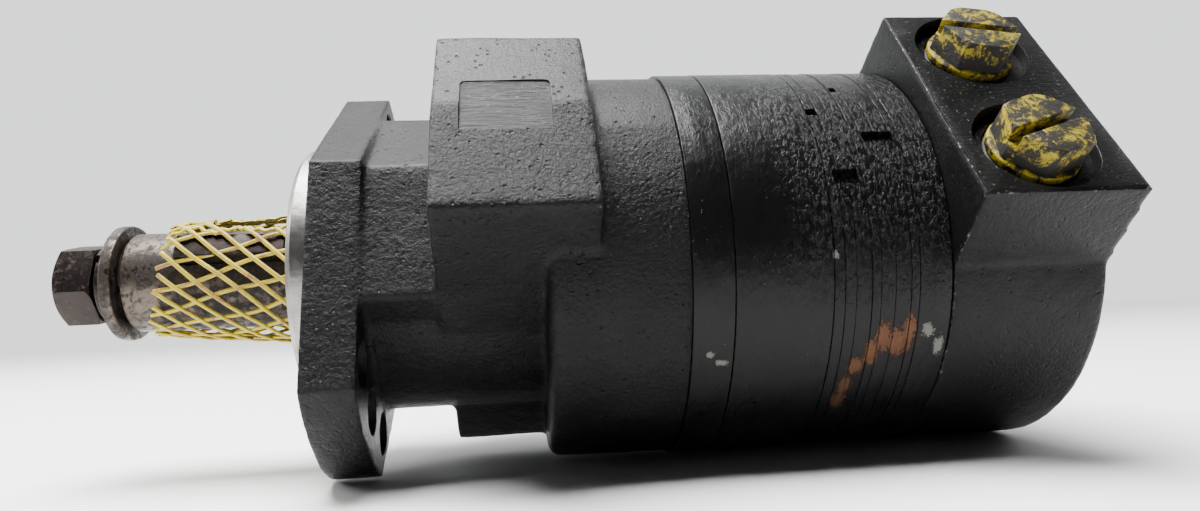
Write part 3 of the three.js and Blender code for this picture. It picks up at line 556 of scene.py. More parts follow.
def paint_over_rings():
    """Smooth black paint over turned steel rings, scratched and chipped."""
    s = Shader("ring_paint")
    turned = s.noise((3.5, 0.03, 0.03), 3, 0.6)
    ripple = s.noise((0.16, 0.1, 0.1), 3, 0.55)
    runs = s.step(s.noise((0.9, 0.45, 0.45), 4, 0.62, 0.4), 0.45, 0.7)
    upper = s.step(s.axis("Z"), 34, 50)
    rear = s.step(s.axis("X"), -100, -80)
    lumps = s.math("MULTIPLY", runs, s.lerp(s.math("MULTIPLY", upper, rear), 0.12, 1.0))
    scratch_a = s.step(s.noise((1.6, 0.06, 1.6), 2, 0.5, offset=(9, 2, 4)), 0.70, 0.74)
    scratch_b = s.step(s.noise((0.11, 1.9, 0.9), 2, 0.6, offset=(1, 5, 8)), 0.72, 0.76)
    scratches = s.math("MAXIMUM", scratch_a, scratch_b)
    patchy = s.step(s.noise(0.07, 3, 0.6, offset=(4, 4, 0)), 0.5, 0.62)
    scratches = s.math("MULTIPLY", scratches, patchy)
    wear = s.attribute("wear")
    chips = s.noise(0.9, 6, 0.75)
    worn = s.step(s.math("ADD", s.math("MULTIPLY", wear, 0.3), s.math("MULTIPLY", chips, 0.9)), 0.84, 0.9)
    dust = s.step(s.noise(0.8, 6, 0.75, offset=(3, 7, 1)), 0.58, 0.8)
    colour = s.mix(s.math("MULTIPLY", dust, 0.35), BLACK, DUSTY)
    colour = s.mix(s.math("MULTIPLY", scratches, 0.7), colour, (0.13, 0.125, 0.12))
    colour = s.mix(worn, colour, BARE_IRON)
    ragged = s.math("MULTIPLY", s.math("SUBTRACT", s.noise((1.3, 0.9, 0.9), 6, 0.78), 0.5), 3.4)
    copper = patch(s, COPPER_PATCHES, ragged)
    brazing = s.mix(s.noise(1.4, 4, 0.7), (0.11, 0.045, 0.024), (0.04, 0.026, 0.016))
    colour = s.mix(copper, colour, brazing)
    grey = patch(s, GREY_CHIPS, ragged)
    colour = s.mix(grey, colour, (0.10, 0.098, 0.085))
    roughness = s.lerp(s.noise(0.25, 4, 0.6), 0.2, 0.42)
    roughness = s.lerp(s.math("MAXIMUM", scratches, dust), roughness, 0.55)
    s.set("Base Color", colour)
    s.set("Roughness", s.lerp(copper, roughness, 0.5))
    s.set("Metallic", s.math("MULTIPLY", s.math("MAXIMUM", copper, worn), 0.75))
    s.set("Specular IOR Level", PAINT_SHEEN)
    flat = s.bump(turned, 0.05)
    flat = s.bump(ripple, 0.5, 1.0, flat)
    flat = s.bump(lumps, 0.35, 1.0, flat)
    flat = s.bump(s.math("SUBTRACT", 1.0, s.math("MAXIMUM", copper, scratches)), 0.12, 1.0, flat)
    s.set("Normal", flat)
    return s.material


def patch(s, places, ragged):
    """Where any of several ragged blobs covers the surface."""
    level = None
    for centre, size in places:
        here = s.near(centre, size)
        level = here if level is None else s.math("MAXIMUM", level, here)
    return s.step(s.math("ADD", level, ragged), 0.12, 0.2)


COPPER_PATCHES = [
    (on_ring(-59.4, 60.5), (2.2, 6.0, 6.0)),
    (on_ring(-62.6, 63.5), (3.4, 5.2, 5.2)),
    (on_ring(-66.8, 62.0), (2.8, 5.6, 5.6)),
    (on_ring(-69.8, 66.0), (2.6, 5.0, 5.0)),
    (on_ring(-73.6, 70.0), (2.6, 3.8, 3.8)),
    (on_ring(-75.9, 76.5), (2.2, 4.6, 4.6)),
    (on_ring(-76.6, 82.0), (2.6, 3.4, 3.4)),
]
GREY_CHIPS = [
    (on_ring(-53.9, 60.4), (2.0, 2.4, 2.4)),
    (on_ring(-50.1, 64.9), (1.6, 3.2, 3.2)),
    (on_ring(-113.2, 66.9), (2.0, 1.2, 1.2)),
    (on_ring(-116.8, 64.4), (1.4, 1.0, 1.0)),
    (on_ring(-81.6, 40.1), (1.1, 1.1, 1.1)),
]


def bare_steel(name, colour, rust, roughness, grain=4.0, rust_level=0.5):
    """Turned bare steel with fine lines round the axis and rust spots."""
    s = Shader(name)
    lines = s.noise((grain, 0.05, 0.05), 3, 0.6)
    spots = s.noise(0.5, 6, 0.72, 0.3)
    stain = s.noise(0.11, 4, 0.6, offset=(2, 3, 9))
    level = s.math("ADD", s.math("MULTIPLY", spots, 0.75), s.math("MULTIPLY", stain, 0.35))
    level = s.math("ADD", level, s.math("MULTIPLY", s.attribute("concavity"), 0.2))
    rusty = s.step(level, rust_level + 0.1, rust_level + 0.22)
    tone = s.mix(s.step(stain, 0.3, 0.75), colour, tuple(0.55 * c for c in colour))
    s.set("Base Color", s.mix(rusty, tone, s.mix(spots, rust, tuple(0.4 * c for c in rust))))
    s.set("Metallic", s.lerp(rusty, 1.0, 0.25))
    s.set("Roughness", s.lerp(rusty, s.lerp(lines, roughness - 0.08, roughness + 0.1), 0.75))
    s.set("Normal", s.bump(spots, 0.12, 1.0, s.bump(lines, 0.05)))
    return s.material


def plain_metal(name, colour, roughness, grain=3.0):
    """Clean, oily machined metal inside the motor."""
    s = Shader(name)
    lines = s.noise((grain, 0.08, 0.08), 3, 0.6)
    tone = s.noise(0.15, 3, 0.5)
    s.set("Base Color", s.mix(s.step(tone, 0.3, 0.7), colour, tuple(0.75 * c for c in colour)))
    s.set("Metallic", 1.0)
    s.set("Roughness", s.lerp(lines, roughness - 0.06, roughness + 0.1))
    s.set("Normal", s.bump(lines, 0.04))
    return s.material


def rubber(name):
    s = Shader(name)
    grain = s.noise(1.8, 3, 0.6)
    s.set("Base Color", s.mix(grain, (0.012, 0.012, 0.012), (0.03, 0.03, 0.028)))
    s.set("Roughness", s.lerp(grain, 0.5, 0.75))
    s.set("Normal", s.bump(grain, 0.08))
    return s.material


def plug_plastic():
    """Yellow moulded plastic with brown smears and black dirt; its hollows are also painted near-black as
    shade, and it darkens a little towards the top.
    """
    s = Shader("plug_plastic")
    smear = s.noise(0.22, 5, 0.7, 0.6)
    specks = s.noise(0.9, 5, 0.75)
    low = s.attribute("concavity")
    level = s.math("ADD", s.math("MULTIPLY", smear, 0.7), s.math("MULTIPLY", specks, 0.4))
    # Hollows push the plastic towards near-black: painted shade.
    level = s.math("ADD", level, s.math("MULTIPLY", low, 0.45))
    top = s.step(s.axis("Z"), 77.1, 79.0)
    level = s.math("ADD", level, s.math("MULTIPLY", top, 0.06))
    # This near-black mask is part real dirt from smears and specks, part painted shade in the hollows, and
    # grows a little towards the top.
    darkened = s.step(level, 0.5, 0.64)
    brown = s.step(s.math("ADD", smear, s.math("MULTIPLY", specks, 0.3)), 0.58, 0.78)
    colour = s.mix(brown, (0.26, 0.20, 0.002), (0.06, 0.04, 0.006))
    colour = s.mix(darkened, colour, (0.006, 0.005, 0.004))
    s.set("Base Color", colour)
    s.set("Specular IOR Level", 0.25)
    s.set("Roughness", s.lerp(darkened, s.lerp(specks, 0.3, 0.48), 0.5))
    s.set("Normal", s.bump(s.math("ADD", specks, s.math("MULTIPLY", smear, 1.5)), 0.22))
    return s.material


def net_plastic():
    """Yellow extruded netting, with brown stains."""
    s = Shader("net_plastic")
    stain = s.noise(0.16, 5, 0.7, 0.4)
    fine = s.noise(1.6, 4, 0.6)
    darkened = s.step(s.math("ADD", stain, s.math("MULTIPLY", fine, 0.25)), 0.6, 0.82)
    colour = s.mix(fine, (0.52, 0.41, 0.003), (0.36, 0.28, 0.003))
    colour = s.mix(darkened, colour, (0.22, 0.10, 0.03))
    s.set("Base Color", colour)
    s.set("Roughness", s.lerp(fine, 0.32, 0.5))
    s.set("Normal", s.bump(fine, 0.15))
    return s.material


# ------------------------------------------------------------------ housing

def arc(radius, start, end, steps, centre=(0.0, 0.0)):
    """Points from one angle to another; angles are measured from +Y towards +Z."""
    return [(centre[0] + radius * math.cos(start + (end - start) * i / steps),
             centre[1] + radius * math.sin(start + (end - start) * i / steps)) for i in range(steps + 1)]


def flange_outline():
    half = math.pi / 2 - FLAT_ANGLE - math.acos(FLAT_DISTANCE / LOBE_RADIUS)
    ridge = FLAT_DISTANCE / math.cos(FLAT_ANGLE)
    near = arc(LOBE_RADIUS, math.pi - half, math.pi + half, 28)
    far = arc(LOBE_RADIUS, -half, half, 28)
    return [(0, -ridge)] + far + [(0, ridge)] + near


def housing_casting():
    half = BLOCK_HALF + 1.2
    shoulder = NECK_RIDGE - half * math.tan(NECK_SLOPE)
    neck = [(-half, 0), (half, 0), (half, shoulder), (0, NECK_RIDGE), (-half, shoulder)]
    root = BLOCK_HALF + 1.1
    side = BLOCK_HALF + 6
    block = [(-root, 35.6), (-side, 0), (side, 0), (root, 35.6), (BLOCK_HALF, BLOCK_EDGE), (0, BLOCK_RIDGE),
             (-BLOCK_HALF, BLOCK_EDGE)]
    block = rounded(block, [2, 0, 0, 2, 2.5, 0, 2.5])
    boss = rounded([(-38, 0), (-38, -50), (38, -50), (38, 0)], [0, 6, 6, 0])
    parts = [
        prism("flange", flange_outline(), FLANGE_FRONT - 0.6, FLANGE_REAR),
        rod("neck", NECK_RADIUS, FLANGE_REAR - 1, CAST_FRONT + 1, sides=128),
        prism("neck_top", neck, FLANGE_REAR - 1, BLOCK_FRONT + 1),
        prism("block", block, BLOCK_FRONT, BLOCK_REAR),
        prism("boss", boss, BLOCK_FRONT, CAST_FRONT + 1),
        rounded_body(),
    ]
    return cast("housing_casting", parts, VOXEL, 7)


def rounded_body():
    """The round rear body of the casting, with a soft front shoulder."""
    rear = HOUSING_REAR + 2
    profile = rounded([(CAST_FRONT, 1), (CAST_FRONT, CAST_RADIUS), (rear, CAST_RADIUS), (rear, 1)],
                      [0, 5, 0, 0])
    return solid_lathe("round_body", [(CAST_FRONT, 0)] + profile[1:-1] + [(rear, 0)], 160)


def cast_skin(point):
    """Unevenness of a sand casting, in millimetres."""
    near_side = 1.0 if point.y < 0 else 0.45
    broad = noise.noise(point * 0.05) * 0.25
    lumps = noise.noise(point * 0.22) * 0.14 * near_side
    fine = noise.noise(point * 0.6) * 0.07 * near_side
    return broad + lumps + fine - 0.2


def make_housing(material, steel):
    casting = housing_casting()
    shift(casting, cast_skin)
    rear = box("rear_trim", (HOUSING_REAR, -90, -90), (HOUSING_REAR + 9, 90, 90))
    combine(casting, rear)
    front = box("front_trim", (FLANGE_FRONT - 9, -90, -90), (FLANGE_FRONT, 90, 90))
    combine(casting, front)
    combine(casting, pad_cutter(BLOCK_FRONT + PAD_FRONT, BLOCK_FRONT + PAD_REAR))
    bore = solid_lathe("bore", [(FLANGE_FRONT - 9, 0), (FLANGE_FRONT - 9, 24.2), (FLANGE_REAR - 3, 24.2),
                                (FLANGE_REAR - 3, 20), (HOUSING_REAR + 9, 20), (HOUSING_REAR + 9, 0)], 96)
    combine(casting, bore)
    for degrees in FLANGE_HOLE_ANGLES:
        angle = math.radians(degrees)
        y, z = FLANGE_HOLE_CIRCLE * math.cos(angle), FLANGE_HOLE_CIRCLE * math.sin(angle)
        combine(casting, flange_drill(y, z))
    finish_piece(casting, material, "housing", ["housing"])
    pilot = [(FLANGE_FRONT, 24.4), (HOUSING_FRONT, 24.4), (HOUSING_FRONT, PILOT_RADIUS - 1.6),
             (HOUSING_FRONT + 1.6, PILOT_RADIUS), (FLANGE_FRONT - 1.2, PILOT_RADIUS),
             (FLANGE_FRONT - 0.8, PILOT_RADIUS - 0.5), (FLANGE_FRONT, PILOT_RADIUS - 0.5)]
    ring = rounded_lathe("housing_pilot", pilot, [0, 0.6, 0.3, 0.3, 0.1, 0.1, 0])
    finish_piece(ring, steel, "housing", ["housing"])


def pad_cutter(start, end):
    """The cut that leaves the flat pad on top of the block."""
    outline = [(start, -PAD_HALF), (end, -PAD_HALF), (end, PAD_HALF), (start, PAD_HALF)]
    cutter = prism("pad", rounded(outline, 2.2), 0, 9)
    cutter.data.transform(Matrix(((0, 1, 0, 0), (0, 0, 1, 0), (1, 0, 0, PAD_FACE), (0, 0, 0, 1))))
    return cutter


def flange_drill(y, z):
    """A bolt hole with a small countersink at both faces."""
    r = FLANGE_HOLE_RADIUS
    profile = [(FLANGE_FRONT - 1, 0), (FLANGE_FRONT - 1, r + 1.6),
               (FLANGE_FRONT + 0.6, r), (FLANGE_REAR - 0.5, r),
               (FLANGE_REAR + 2, r + 2.5), (FLANGE_REAR + 2, 0)]
    hole = solid_lathe("drill", profile, 48)
    hole.data.transform(Matrix.Translation((0, y, z)))
    return hole


# ------------------------------------------------------------------ stack rings

def ring_piece(node, material, outer=64.0, inner=40.0, edge=0.25, cuts=()):
    start, end = span(node)
    profile = [(start, inner), (end, inner), (end, outer), (start, outer)]
    ring = rounded_lathe(f"{node}_shell", profile, [0, 0, edge, edge])
    for cutter in cuts:
        combine(ring, cutter)
    finish_piece(ring, material, "housing", [node], wear=(0.2, 1.4))


def notch(x0, x1, degrees, width, depth):
    """A slot milled into the rim of the stack; degrees are measured from the ports to the near side."""
    cutter = box("notch", (x0, -width / 2, 64 - depth), (x1, width / 2, 68))
    cutter.data.transform(Matrix.Rotation(math.radians(degrees), 4, "X"))
    return cutter


NOTCHES = [
    (-82.7, -79.0, -2.0, 3.0, 1.6),
    (-70.8, -68.8, -13.4, 3.0, 1.4),
    (-79.8, -72.4, 19.8, 4.6, 1.8),
    (-68.2, -59.0, 7.9, 4.0, 1.8),
    (-70.0, -61.0, 170.0, 3.2, 1.8),
    (-80.0, -72.0, 255.0, 3.4, 1.8),
]


def make_stack(material):
    ring_piece("wear_plate", material, 63.9, edge=0.35)
    ring_piece("stator", material, 64.0, edge=0.4)
    plates = sorted(n for n in frame["nodes"] if n.startswith("manifold_plate_"))
    for i, node in enumerate(plates):
        start, end = span(node)
        cuts = [notch(*n) for n in NOTCHES if n[0] < end and n[1] > start]
        ring_piece(node, material, 63.9 + 0.08 * math.sin(2.4 * i), edge=0.22, cuts=cuts)
    ring_piece("commutator_ring", material, 63.9, edge=0.4)


# ------------------------------------------------------------------ end cover and plugs

def make_cover(material):
    root, top = 44.5, 41.5
    outline = rounded([(-root, 0), (root, 0), (root, 46), (top, PORT_FACE), (-top, PORT_FACE), (-root, 46)],
                      [0, 0, 3, 0.8, 0.8, 3])
    disc = rounded([(COVER_FRONT, 1), (COVER_FRONT, 64), (0, 64), (0, 1)], [0, 0.3, 2.2, 0])
    disc = solid_lathe("disc", [(COVER_FRONT, 0)] + disc[1:-1] + [(0, 0)], 200)
    block = prism("port_block", outline, COVER_FRONT, 0)
    cover = cast("end_cover_casting", [disc, block], VOXEL, 5)
    shift(cover, lambda p: 0.6 * cast_skin(p))
    combine(cover, box("face_trim", (COVER_FRONT - 9, -90, PORT_FACE - 0.25), (9, 90, 90)))
    for y in (-PORT_Y, PORT_Y):
        profile = [(0, 48.6), (11.3, 48.6), (11.3, 65.4), (13.5, 65.4), (13.5, 67.6), (17.3, 67.6),
                   (17.3, PORT_FACE - 0.7), (18.2, PORT_FACE + 1), (0, PORT_FACE + 1)]
        combine(cover, post("port", profile, PORT_X, y))
    for i in range(7):
        angle = 2 * math.pi * i / 7
        y, z = BOLT_CIRCLE * math.sin(angle), BOLT_CIRCLE * math.cos(angle)
        combine(cover, rod("counterbore", 7.6, -10.5, 2, y, z, 48))
    finish_piece(cover, material, "housing", ["end_cover"])


def hexagon(flats, turn):
    radius = flats / math.sqrt(3)
    angles = [turn + math.pi / 3 * i for i in range(6)]
    return [(radius * math.sin(angle), radius * math.cos(angle)) for angle in angles]


PLUG_SEAT = 67.8
PLUG_FLATS = 22.0
PLUG_RADIUS = 13.0


def make_plug(index, y, turn, lean, material):
    seat = PLUG_SEAT
    top = seat + 11.5
    head = prism("plug_hex", rounded(hexagon(PLUG_FLATS, 0), 0.8), 0, 9.0)
    head.data.transform(Matrix.Translation((0, 0, seat + 2.5)) @ Matrix.Rotation(-math.pi / 2, 4, "Y"))
    profile = [(0, seat + 2), (PLUG_RADIUS, seat + 2), (PLUG_RADIUS, top - 1.2), (11.6, top), (0, top)]
    crown = post("crown", profile, 0, 0)
    modifier = head.modifiers.new("crown", "BOOLEAN")
    modifier.operation = "INTERSECT"
    modifier.solver = "MANIFOLD"
    modifier.object = crown
    bake_modifiers(head)
    discard(crown)
    body = [(0, seat - 12), (10.9, seat - 12), (10.9, seat), (12.6, seat),
            (PLUG_RADIUS, seat + 0.5), (PLUG_RADIUS, seat + 2.0), (12.6, seat + 2.5), (0, seat + 2.5)]
    combine(head, post("plug_flange", body, 0, 0), "UNION")
    combine(head, box("slot", (-20, -1.75, top - 4), (20, 1.75, top + 2)))
    head.name = f"port_plug_{index}_cap"
    bevel = head.modifiers.new("bevel", "BEVEL")
    bevel.width = 0.35
    bevel.segments = 2
    bevel.limit_method = "ANGLE"
    bevel.angle_limit = math.radians(35)
    bake_modifiers(head)
    place = Matrix.Translation((PORT_X, y, 0)) @ Matrix.Rotation(turn, 4, "Z")
    place = place @ Matrix.Translation((0, 0, seat))
    head.data.transform(place @ Matrix.Rotation(lean, 4, "X") @ Matrix.Translation((0, 0, -seat)))
    node = f"port_plug_{index}"
    finish_piece(head, material, "housing", [node], wear=(0.2, 1.0))


def make_plug_ring(index, y, material):
    node = f"plug_oring_{index}"
    ring = lathe(f"{node}_round", [(66.5 + 0.95 * math.cos(a), 12.2 + 0.95 * math.sin(a))
                                   for a in [2 * math.pi * i / 12 for i in range(12)]], 64)
    ring.data.transform(Matrix.Translation((PORT_X, y, 0)) @ Matrix.Rotation(-math.pi / 2, 4, "Y"))
    finish_piece(ring, material, "housing", [node])


COVER_HEAD_DEPTH = 9.5
COVER_HEAD_RADIUS = 7.0
COVER_SHANK_RADIUS = 4.7
COVER_SOCKET = 8


def make_cover_bolt(index, material):
    node = f"cover_bolt_{index}"
    start, end = span(node)
    angle = 2 * math.pi * (index - 1) / 7
    y, z = BOLT_CIRCLE * math.sin(angle), BOLT_CIRCLE * math.cos(angle)
    head = end - COVER_HEAD_DEPTH
    shank, wide = COVER_SHANK_RADIUS, COVER_HEAD_RADIUS
    profile = rounded([(start, 1), (start, shank), (head, shank), (head, wide), (end, wide), (end, 1)],
                      [0, 0.8, 0, 0, 0.8, 0], 3)
    bolt = solid_lathe("bolt", [(start, 0)] + profile[1:-1] + [(end, 0)], 48)
    combine(bolt, prism("socket", hexagon(COVER_SOCKET, 0.2), end - 5, end + 1))
    bolt.data.transform(Matrix.Translation((0, y, z)))
    bolt.name = f"{node}_screw"
    finish_piece(bolt, material, "housing", [node])


# ------------------------------------------------------------------ shaft group

SHAFT_RADIUS = 15.9
JOURNAL_SETBACK = 21.1
JOURNAL_RADIUS = 19.3
BELL_SETBACK = 56.3
BELL_RADIUS = 26
MOUTH_RADIUS = 19.5
MOUTH_DEPTH = 20
TAPPED_RADIUS = 8.2
TAPPED_DEPTH = 30
SPLINE_TEETH = 12
SPLINE_TIP = 14.5
SPLINE_ROOT = 16.9
SPLINE_DEPTH = 44
SPLINE_HALF_ANGLE = math.radians(5.8)
WASHER_BORE = 8.4
WASHER_RADIUS = 18.55
LOCK_RADIUS = 12.55
LOCK_THICK = 3.7
HEAD_DEPTH = 12
HEAD_FLATS = 23.8
HEAD_RADIUS = 13.9
SHANK_RADIUS = 7.9
SHAFT_END = span("coupling_shaft")[0]


def spline_outline():
    """The twelve-tooth bore that the drive link fits in."""
    points = []
    for tooth in range(SPLINE_TEETH):
        middle = math.pi * (2 * tooth + 1) / SPLINE_TEETH
        corners = ((SPLINE_TIP, -1), (SPLINE_ROOT, -1), (SPLINE_ROOT, 1), (SPLINE_TIP, 1))
        for radius, side in corners:
            angle = middle + side * SPLINE_HALF_ANGLE
            points.append((radius * math.sin(angle), radius * math.cos(angle)))
    return points


def make_shaft(material, dark):
    front, rear = span("coupling_shaft")
    journal = HOUSING_FRONT + JOURNAL_SETBACK
    bell = HOUSING_FRONT + BELL_SETBACK
    profile = rounded([(front, 1), (front, 14.4), (front + 1.6, SHAFT_RADIUS), (journal, SHAFT_RADIUS),
                       (journal, JOURNAL_RADIUS), (bell, JOURNAL_RADIUS),
                       (bell, BELL_RADIUS), (rear, BELL_RADIUS), (rear, 1)],
                      [0, 0.3, 0.3, 0.1, 0.3, 0.1, 0.4, 0.4, 0], 3)
    shaft = solid_lathe("shaft", [(front, 0)] + profile[1:-1] + [(rear, 0)])
    combine(shaft, rod("mouth", MOUTH_RADIUS, rear - MOUTH_DEPTH, rear + 1, sides=96))
    combine(shaft, prism("spline", spline_outline(), rear - SPLINE_DEPTH, rear - 19))
    start, end = span("shaft_key")
    slot = box("keyway", (start - 0.25, -4.2, 12), (end + 0.25, 4.2, 22))
    slot.data.transform(Matrix.Rotation(KEY_TURN, 4, "X"))
    combine(shaft, slot)
    combine(shaft, rod("tapped", TAPPED_RADIUS, front - 1, front + TAPPED_DEPTH, sides=48))
    shaft.name = "coupling_shaft_end"
    finish_piece(shaft, material, "shaft", ["coupling_shaft"], wear=(0.1, 0.8))
    key = box("key", (start, -3.97, 12.2), (end, 3.97, 19.9))
    bevel = key.modifiers.new("bevel", "BEVEL")
    bevel.width = 0.5
    bevel.segments = 3
    bake_modifiers(key)
    key.data.transform(Matrix.Rotation(KEY_TURN, 4, "X"))
    key.name = "shaft_key_bar"
    finish_piece(key, dark, "shaft", ["shaft_key"])


def make_washers(material, dark):
    start, end = span("shaft_washer")
    section = [(start, WASHER_BORE), (end, WASHER_BORE), (end, WASHER_RADIUS), (start, WASHER_RADIUS)]
    washer = rounded_lathe("shaft_washer_plate", section, [0.3, 0.3, 0.7, 0.9])
    shift(washer, lambda p: 0.12 * noise.noise(p * 0.35))
    finish_piece(washer, material, "shaft", ["shaft_washer"], wear=(0.2, 1.2))
    start, end = span("lock_washer")
    steps = 96
    points, faces = [], []
    section = [(0, WASHER_BORE), (LOCK_THICK, WASHER_BORE), (LOCK_THICK, LOCK_RADIUS), (0, LOCK_RADIUS)]
    section = rounded(section, 0.5, 2)
    for i in range(steps + 1):
        turn = math.radians(7) + (2 * math.pi - math.radians(14)) * i / steps
        rise = (end - start - LOCK_THICK) * i / steps
        points += [(start + rise + x, r * math.sin(turn), r * math.cos(turn)) for x, r in section]
    n = len(section)
    for i in range(steps):
        for k in range(n):
            faces.append((i * n + k, i * n + (k + 1) % n, (i + 1) * n + (k + 1) % n, (i + 1) * n + k))
    faces.append(tuple(range(n)))
    faces.append(tuple(range(steps * n, (steps + 1) * n)))
    spring = make_object("lock_washer_coil", points, faces)
    finish_piece(spring, dark, "shaft", ["lock_washer"])


def make_shaft_bolt(dark, turn):
    start, end = span("shaft_bolt")
    head_rear = start + HEAD_DEPTH
    head = prism("bolt_head", hexagon(HEAD_FLATS, turn), start, head_rear)
    profile = [(start, 0), (start, 10.6), (start + 0.5, 11.4), (start + 2.0, HEAD_RADIUS),
               (head_rear - 1.2, HEAD_RADIUS), (head_rear, 12.6), (head_rear, 0)]
    dome = solid_lathe("dome", profile, 96)
    modifier = head.modifiers.new("dome", "BOOLEAN")
    modifier.operation = "INTERSECT"
    modifier.solver = "MANIFOLD"
    modifier.object = dome
    bake_modifiers(head)
    discard(dome)
    combine(head, rod("shank", SHANK_RADIUS, head_rear - 1, end, sides=48), "UNION")
    bevel = head.modifiers.new("bevel", "BEVEL")
    bevel.width = 0.35
    bevel.segments = 3
    bevel.limit_method = "ANGLE"
    bevel.angle_limit = math.radians(25)
    bake_modifiers(head)
    head.name = "shaft_bolt_screw"
    finish_piece(head, dark, "shaft", ["shaft_bolt"])


def make_dust_seal(material):
    start, end = span("dust_seal")
    profile = [(start, 18.9), (start, 23.95), (end, 23.95), (end, 18.9), (start + 3, 16.15)]
    seal = rounded_lathe("dust_seal_lip", profile, 0.5)
    finish_piece(seal, material, "housing", ["dust_seal"])


# ------------------------------------------------------------------ netting sleeve

NET_STRANDS = 20
STRAND_RADIUS = 0.72
NET_PITCH = (-0.22, 0.66)
TEAR_HALF_ANGLE = 0.42


def net_radius(x, angle):
    """How far the net stands from the shaft axis: it rides over the key and flares to the pilot."""
    along = (x - SHAFT_END) / (HOUSING_FRONT - SHAFT_END)
    plain = SHAFT_RADIUS + 1.2 + 4.8 * max(0.0, along - 0.15) ** 0.8
    over_key = math.exp(-((math.remainder(angle + KEY_TURN, 2 * math.pi)) / 0.42) ** 2)
    key_rise = over_key * max(0.0, min(1.0, (x - SHAFT_END - 12) / 5)) * (21.2 - plain)
    wander = 0.35 * noise.noise(Vector((x * 0.12, 3 * math.cos(angle), 3 * math.sin(angle))))
    return min(plain + max(0.0, key_rise) + wander, 22.9)


def bunched(angle):
    """Crowds the strands towards the underside."""
    return angle + 0.32 * math.sin(angle - 1.9)


def net_start(angle, index):
    """Where the ragged front end of the net lies at an angle."""
    ragged = 1.7 * noise.noise(Vector((7.3 * math.cos(angle), 7.3 * math.sin(angle), index)))
    return SHAFT_END + 10.0 + 4.6 * math.cos(angle + 0.35) + ragged


def torn(x, angle):
    """The net is torn open along the top, towards the pilot."""
    half = TEAR_HALF_ANGLE * min(1.0, (x - SHAFT_END - 21) / 12)
    edge = 0.09 * math.sin(1.3 * x)
    return abs(math.remainder(angle + 0.62, 2 * math.pi)) < half + edge


def strand_points(index, family):
    """The pieces of one strand of the net, from its ragged front end to the pilot."""
    base = 2 * math.pi * index / NET_STRANDS
    pieces = [[]]
    x = SHAFT_END + 3
    while x < HOUSING_FRONT - 1.3:
        turn = base + NET_PITCH[family] * (x - SHAFT_END) / 17.5
        turn += 0.035 * math.sin(0.16 * x + 1.7 * index)
        angle = bunched(turn)
        if x > net_start(angle, index) and not torn(x, angle):
            radius = net_radius(x, angle) + (0.26 if family else -0.26)
            pieces[-1].append((x, radius * -math.sin(angle), radius * math.cos(angle)))
        elif pieces[-1]:
            pieces.append([])
        x += 0.8
    return [piece for piece in pieces if len(piece) > 4]


def bunch_strands():
    """Loose strands drawn together along the two edges of the tear."""
    paths = []
    for edge, side in ((-1.12, 1), (-1.2, -1), (-1.05, -1), (-0.12, 1)):
        path = []
        for step in range(44):
            x = SHAFT_END + 16 + step * 0.88
            angle = edge + 0.05 * side * math.sin(0.45 * x + 3 * edge) + 0.03 * math.sin(1.7 * x)
            if x < HOUSING_FRONT - 1.3:
                radius = net_radius(x, angle) + 0.35 * side * math.sin(0.6 * x)
                path.append((x, radius * -math.sin(angle), radius * math.cos(angle)))
        paths.append(path)
    return paths


def tube_mesh(path, radius, sides=7, squash=0.75):
    """A round strand along a path, closed at both ends."""
    path = [Vector(p) for p in path]
    points, faces = [], []
    for i, here in enumerate(path):
        ahead = path[min(i + 1, len(path) - 1)] - path[max(i - 1, 0)]
        out = Vector((0, here.y, here.z)).normalized()
        side = ahead.cross(out).normalized()
        out = side.cross(ahead).normalized()
        for k in range(sides):
            a = 2 * math.pi * k / sides
            points.append(here + side * radius * math.cos(a) + out * radius * squash * math.sin(a))
    for i in range(len(path) - 1):
        for k in range(sides):
            beside = (k + 1) % sides
            start, ahead = i * sides, (i + 1) * sides
            faces.append((start + k, start + beside, ahead + beside, ahead + k))
    faces.append(tuple(range(sides)))
    faces.append(tuple(range((len(path) - 1) * sides, len(path) * sides)))
    return points, faces


def make_net(material):
    points, faces, paths = [], [], []
    for family in (0, 1):
        for index in range(NET_STRANDS):
            paths += strand_points(index, family)
    for path in paths + bunch_strands():
        new_points, new_faces = tube_mesh(path, STRAND_RADIUS)
        offset = len(points)
        points += new_points
        faces += [tuple(i + offset for i in face) for face in new_faces]
    net = make_object("netting_sleeve_net", points, faces)
    finish_piece(net, material, "shaft", ["netting_sleeve"], angle=60)


# ------------------------------------------------------------------ stage

BACKDROP = 1.65


def make_floor():
    low = cad_bounds[0]
    size = 8.0
    mesh = bpy.data.meshes.new("floor")
    corners = [(-size, -size, 0), (size, -size, 0), (size, size, 0), (-size, size, 0)]
    mesh.from_pydata(corners, [], [(0, 1, 2, 3)])
    floor = bpy.data.objects.new("floor", mesh)
    floor.location = (-0.15, 0, low[2] - 0.0002)
    bpy.context.scene.collection.objects.link(floor)
    s = Shader("floor_white")
    coords = s.node("ShaderNodeTexCoord")
    split = s.node("ShaderNodeSeparateXYZ")
    s.link(coords.outputs["Object"], split.inputs[0])
    far = s.step(split.outputs["Y"], 0.25, 1.5)
    # Towards the camera side the floor turns dark grey, from 0.12 m to 0.6 m in front of the motor: painted
    # shade, which the motor's near faces reflect.
    front = s.step(split.outputs["Y"], -0.12, -0.6)
    white = s.mix(front, (0.86, 0.86, 0.85), (0.10, 0.10, 0.10))
    s.set("Base Color", s.mix(far, white, (0.0, 0.0, 0.0)))
    s.set("Emission Color", (0.97, 0.985, 1.0))
    s.set("Emission Strength", s.math("MULTIPLY", far, BACKDROP))
    s.set("Specular IOR Level", 0.0)
    s.set("Roughness", 0.7)
    mesh.materials.append(s.material)


